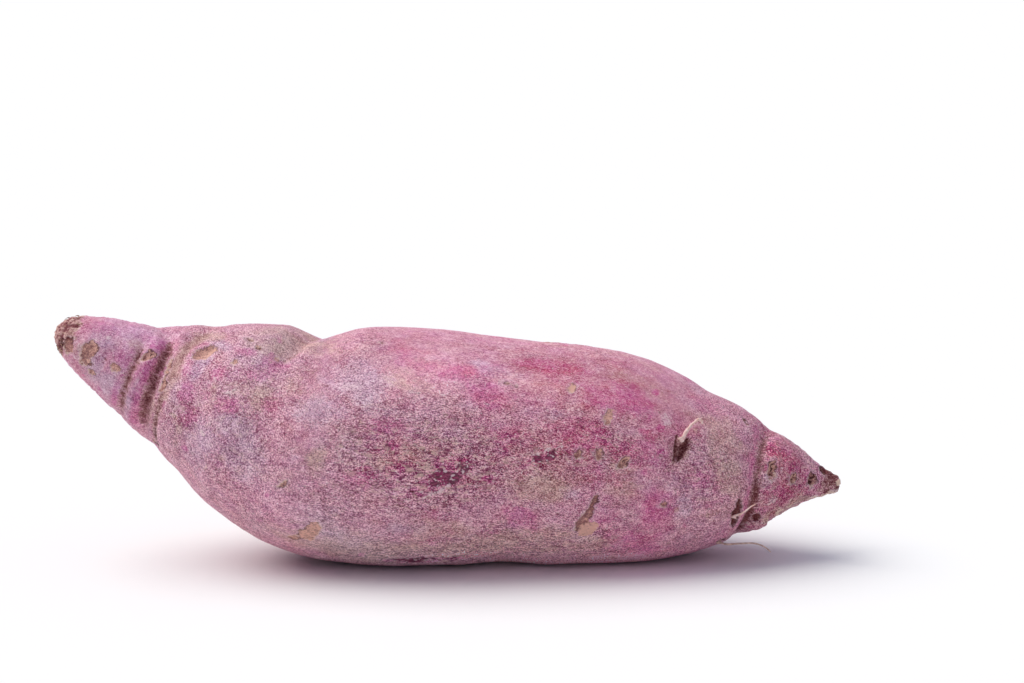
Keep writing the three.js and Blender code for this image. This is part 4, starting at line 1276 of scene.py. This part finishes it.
# %% Draw a thread along a line
def thread(lines, girths, sides=8):
    """One mesh of tapered tubes; each line is its points in metres and each girth its radii in mm."""
    work = bmesh.new()
    for line, radii in zip(lines, girths):
        ahead = np.gradient(line, axis=0)
        ahead /= np.linalg.norm(ahead, axis=1, keepdims=True)
        side = np.cross(ahead[0], (0.3, 0.5, 0.8))
        hoops = []
        for point, way, radius in zip(line, ahead, radii):
            side = side - way * (side @ way)
            side /= np.linalg.norm(side)
            over_side = np.cross(way, side)
            turns = 2 * np.pi * np.arange(sides) / sides
            spokes = [(side * math.cos(t) + over_side * math.sin(t)) * radius * MM for t in turns]
            hoops.append([work.verts.new(point + spoke) for spoke in spokes])
        for low, high in zip(hoops[:-1], hoops[1:]):
            for k in range(sides):
                work.faces.new((low[k], low[(k + 1) % sides], high[(k + 1) % sides], high[k]))
        work.faces.new(hoops[0][::-1])
        work.faces.new(hoops[-1])
    bmesh.ops.recalc_face_normals(work, faces=work.faces)
    mesh = bpy.data.meshes.new("thread")
    work.to_mesh(mesh)
    work.free()
    mesh.shade_smooth()
    return mesh


print("a thread is drawn as a tube of eight sides, unless asked otherwise")

# %% Put a mesh in the scene as a piece
def add_piece(name, mesh, slot, finish, *stands_for):
    """Put a mesh in the scene as a piece of the root."""
    piece = bpy.data.objects.new(name, mesh)
    bpy.context.scene.collection.objects.link(piece)
    mesh.materials.append(finish)
    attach(piece, "root")
    if stands_for:
        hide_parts(*stands_for)
    return piece


print("a piece of the scene can now be made in one line")

# %% [markdown]
# ## The dried root's finish
# A dried rootlet is pale and dull, with pink left in it here and there, and brown where soil stuck.

# %% Wire the dried root's finish
def dried_finish(name, light, dark, per_mm=1.2):
    """A dull, streaky finish between two colours."""
    finish, shader, wire = start_finish(name, 0.8)
    place = wire("TexCoord", {}, out=3)
    streaks = wire("TexNoise", {"Vector": place, "Scale": per_mm / MM, "Detail": 3.0})
    share = wire("MapRange", {"Value": streaks, "From Min": 0.35, "From Max": 0.65})
    shade = wire("Mix", {0: share, 6: paint(*dark), 7: paint(*light)}, out=2, data_type="RGBA")
    plug(shade, shader, "Base Color")
    plug(wire("Bump", {"Height": streaks, "Strength": 0.5, "Distance": 0.1 * MM}), shader, "Normal")
    return finish


pale_rootlet = dried_finish("pale_dried_rootlet", (255, 226, 222), (232, 184, 174))
grey_rootlet = dried_finish("grey_dried_rootlet", (236, 206, 190), (196, 164, 150))
fibre_finish = dried_finish("brown_stalk_fibre", (206, 168, 142), (104, 70, 60))
print("three dried finishes")

# %% Make the three rootlets
STATIONS = 46
FOOT = 0.9 * MM
HOOK = np.array([(0.5, 0, -0.1), (0.8, 0, -0.6), (0.7, 0, -1.2)]) * MM
GIRTHS = (0.50, 0.27, 0.28)
share = np.linspace(0, 1, STATIONS)
for number, (name, girth) in enumerate(zip(ROOTLETS, GIRTHS)):
    line = middle_line(name)
    inwards = (line[0] - line[1]) / np.linalg.norm(line[1] - line[0])
    line = np.concatenate([[line[0] + inwards * FOOT], line])
    if name == "rootlet_in_slanting_eye":
        line = np.concatenate([line, line[-1] + HOOK])
    places = np.linspace(0, len(line) - 1, STATIONS)
    path = np.stack([np.interp(places, np.arange(len(line)), column) for column in line.T], -1)
    for _ in range(4):
        path[1:-1] = (path[:-2] + 2 * path[1:-1] + path[2:]) / 4
    measure = np.stack([share * 14, np.full(STATIONS, number * 9.0), np.zeros(STATIONS)], -1)
    for axis in range(3):
        path[:, axis] += 0.16 * MM * layered(measure, 2.2, 2, 40 + axis) * ramp(share, 0, 0.2)
    radii = girth * (1 - 0.50 * share) * (1 + 0.35 * layered(measure, 1.0, 2, 50))
    radii = radii * (1 + 1.1 * np.exp(-share * 16))
    if name == "rootlet_in_tip_scar":
        path[:, 2] -= 0.25 * MM * np.sin(np.pi * share)
    path[:, 2] = np.maximum(path[:, 2], radii * MM)
    finish = grey_rootlet if name == "rootlet_trailing" else pale_rootlet
    add_piece(name.replace("rootlet", "dried_rootlet"), thread([path], [radii]), "dried_root", finish, name)
    print(name, "is", round(2 * float(radii.max()), 2), "mm thick at its foot")

# %% [markdown]
# ## Torn fibres
# Where the root was pulled off the vine its woody strands tore one by one. A few dozen short stiff ends still
# stand on the cap, and a few on the broken tip. They are drawn with the same tool as the rootlets.

# %% Draw a tuft of fibres
def tuft(count, alongs, angles_between, length, way, girth, seed):
    """Short tapered strands that start in the skin and lean off the end of the root."""
    dice = np.random.default_rng(seed)
    lines, girths = [], []
    for _ in range(count):
        place, on, across, out = spot(dice.uniform(*alongs), dice.uniform(*angles_between))
        lean_out = way * on + out * dice.uniform(0.15, 0.6) + across * dice.normal(0, 0.35)
        bend = -out * dice.uniform(0.1, 0.6) + across * dice.normal(0, 0.3)
        t = np.linspace(0, 1, 7)[:, None]
        size = dice.uniform(*length)
        lines.append(place - out * 0.25 * MM + (lean_out * t + bend * t**2) * size * MM)
        girths.append(dice.uniform(*girth) * (1 - 0.75 * t[:, 0]))
    return thread(lines, girths, 6)


stalk_tuft = tuft(
    count=34, alongs=(0.7, 2.8), angles_between=(-70, 250),
    length=(0.5, 1.2), way=-1, girth=(0.09, 0.18), seed=17
)
tip_tuft = tuft(
    count=22, alongs=(97.6, 99.2), angles_between=(-180, 180),
    length=(0.4, 0.9), way=1, girth=(0.08, 0.15), seed=19
)
add_piece("torn_stalk_fibres", stalk_tuft, "dried_root", fibre_finish)
add_piece("torn_tip_fibres", tip_tuft, "dried_root", fibre_finish)
print("fibres at both ends, with", len(stalk_tuft.polygons) + len(tip_tuft.polygons), "faces")

# %% [markdown]
# ## Floor, light and camera
# A plain white floor and a white world carry the object. One broad soft lamp hangs above, to the left and
# very slightly behind, as a softbox does, and the world fills the shadows. Together they light a level white
# card to white, so that every colour renders about as it is written. The shadow falls softly to the right.

# %% Helper: rays that see the background
def seen_rays(wire):
    """1 for rays from the camera and by way of gloss or glass, and 0 for rays that only carry light."""
    kinds = ("Is Camera Ray", "Is Glossy Ray", "Is Transmission Ray")
    camera_ray, gloss_ray, glass_ray = (wire("LightPath", {}, out=kind) for kind in kinds)
    return camera_ray.at_least(gloss_ray).at_least(glass_ray)


print("the background shows to the camera, in gloss and through glass")

# %% The floor
bpy.ops.mesh.primitive_plane_add(size=8)
floor = bpy.context.object
floor.name = "white_floor"
floor.location.z = -0.05 * MM
white, shader, wire = start_finish("white_card", 1.0)
shader.inputs["Specular IOR Level"].default_value = 0.0
card = wire("Mix", {0: seen_rays(wire), 6: (0.88, 0.88, 0.88, 1), 7: (1, 1, 1, 1)}, out=2, data_type="RGBA")
plug(card, shader, "Base Color")
floor.data.materials.append(white)
print("floor laid")

# %% The world
FILL = (0.36, 0.38, 0.47)
HORIZON = 0.10
world = bpy.data.worlds.new("white_studio")
bpy.context.scene.world = world
world.use_nodes = True
wire = wiring(world.node_tree)
how_high = wire("SeparateXYZ", {0: wire("TexCoord", {}, out=0)}, out=2).at_least(0.0)
strength = how_high * (1.5 * (1 - HORIZON)) + HORIZON
fill = wire("VectorMath", {0: FILL, "Scale": strength}, operation="SCALE")
dome = wire("Mix", {0: seen_rays(wire), 6: fill, 7: (1, 1, 1, 1)}, out=2, data_type="RGBA")
plug(dome, world.node_tree.nodes["Background"], "Color")
print("the world's fill is strongest from above, and", HORIZON, "of", FILL, "at the horizon")

# %% The lamp
LAMP_SPREAD = math.radians(52)
LAMP_SHARE = (0.64, 0.62, 0.56)
falls = Vector((0.53, -0.08, -0.83)).normalized()
lamp = bpy.data.objects.new("softbox", bpy.data.lights.new("softbox", "SUN"))
bpy.context.scene.collection.objects.link(lamp)
lamp.rotation_euler = falls.to_track_quat("-Z", "Y").to_euler()
lamp.data.angle = LAMP_SPREAD
lamp.data.color = [part / max(LAMP_SHARE) for part in LAMP_SHARE]
lamp.data.energy = max(LAMP_SHARE) * math.pi / -falls.z
bpy.context.scene.view_settings.view_transform = "Standard"
print("lamp strength", round(lamp.data.energy, 2))

# %% The camera
LOOKING_DOWN = math.radians(13)
FAR = 0.67
AIM_RIGHT, AIM_UP = 14.9 * MM, 22.4 * MM
LENS_MM, SENSOR_MM = 99.5, 36
middle = (cad_low + cad_high) / 2
camera = bpy.data.objects.new("camera", bpy.data.cameras.new("camera"))
bpy.context.scene.collection.objects.link(camera)
bpy.context.scene.camera = camera
toward = Vector((0, -math.cos(LOOKING_DOWN), math.sin(LOOKING_DOWN)))
up = Vector((0, math.sin(LOOKING_DOWN), math.cos(LOOKING_DOWN)))
camera.location = middle + toward * FAR
aim = middle + Vector((AIM_RIGHT, 0, 0)) + up * AIM_UP
camera.rotation_euler = (aim - camera.location).to_track_quat("-Z", "Y").to_euler()
camera.data.lens = LENS_MM
camera.data.sensor_width = SENSOR_MM
camera.data.clip_start = 0.01
print("camera", round(FAR, 2), "m from the middle of the root")
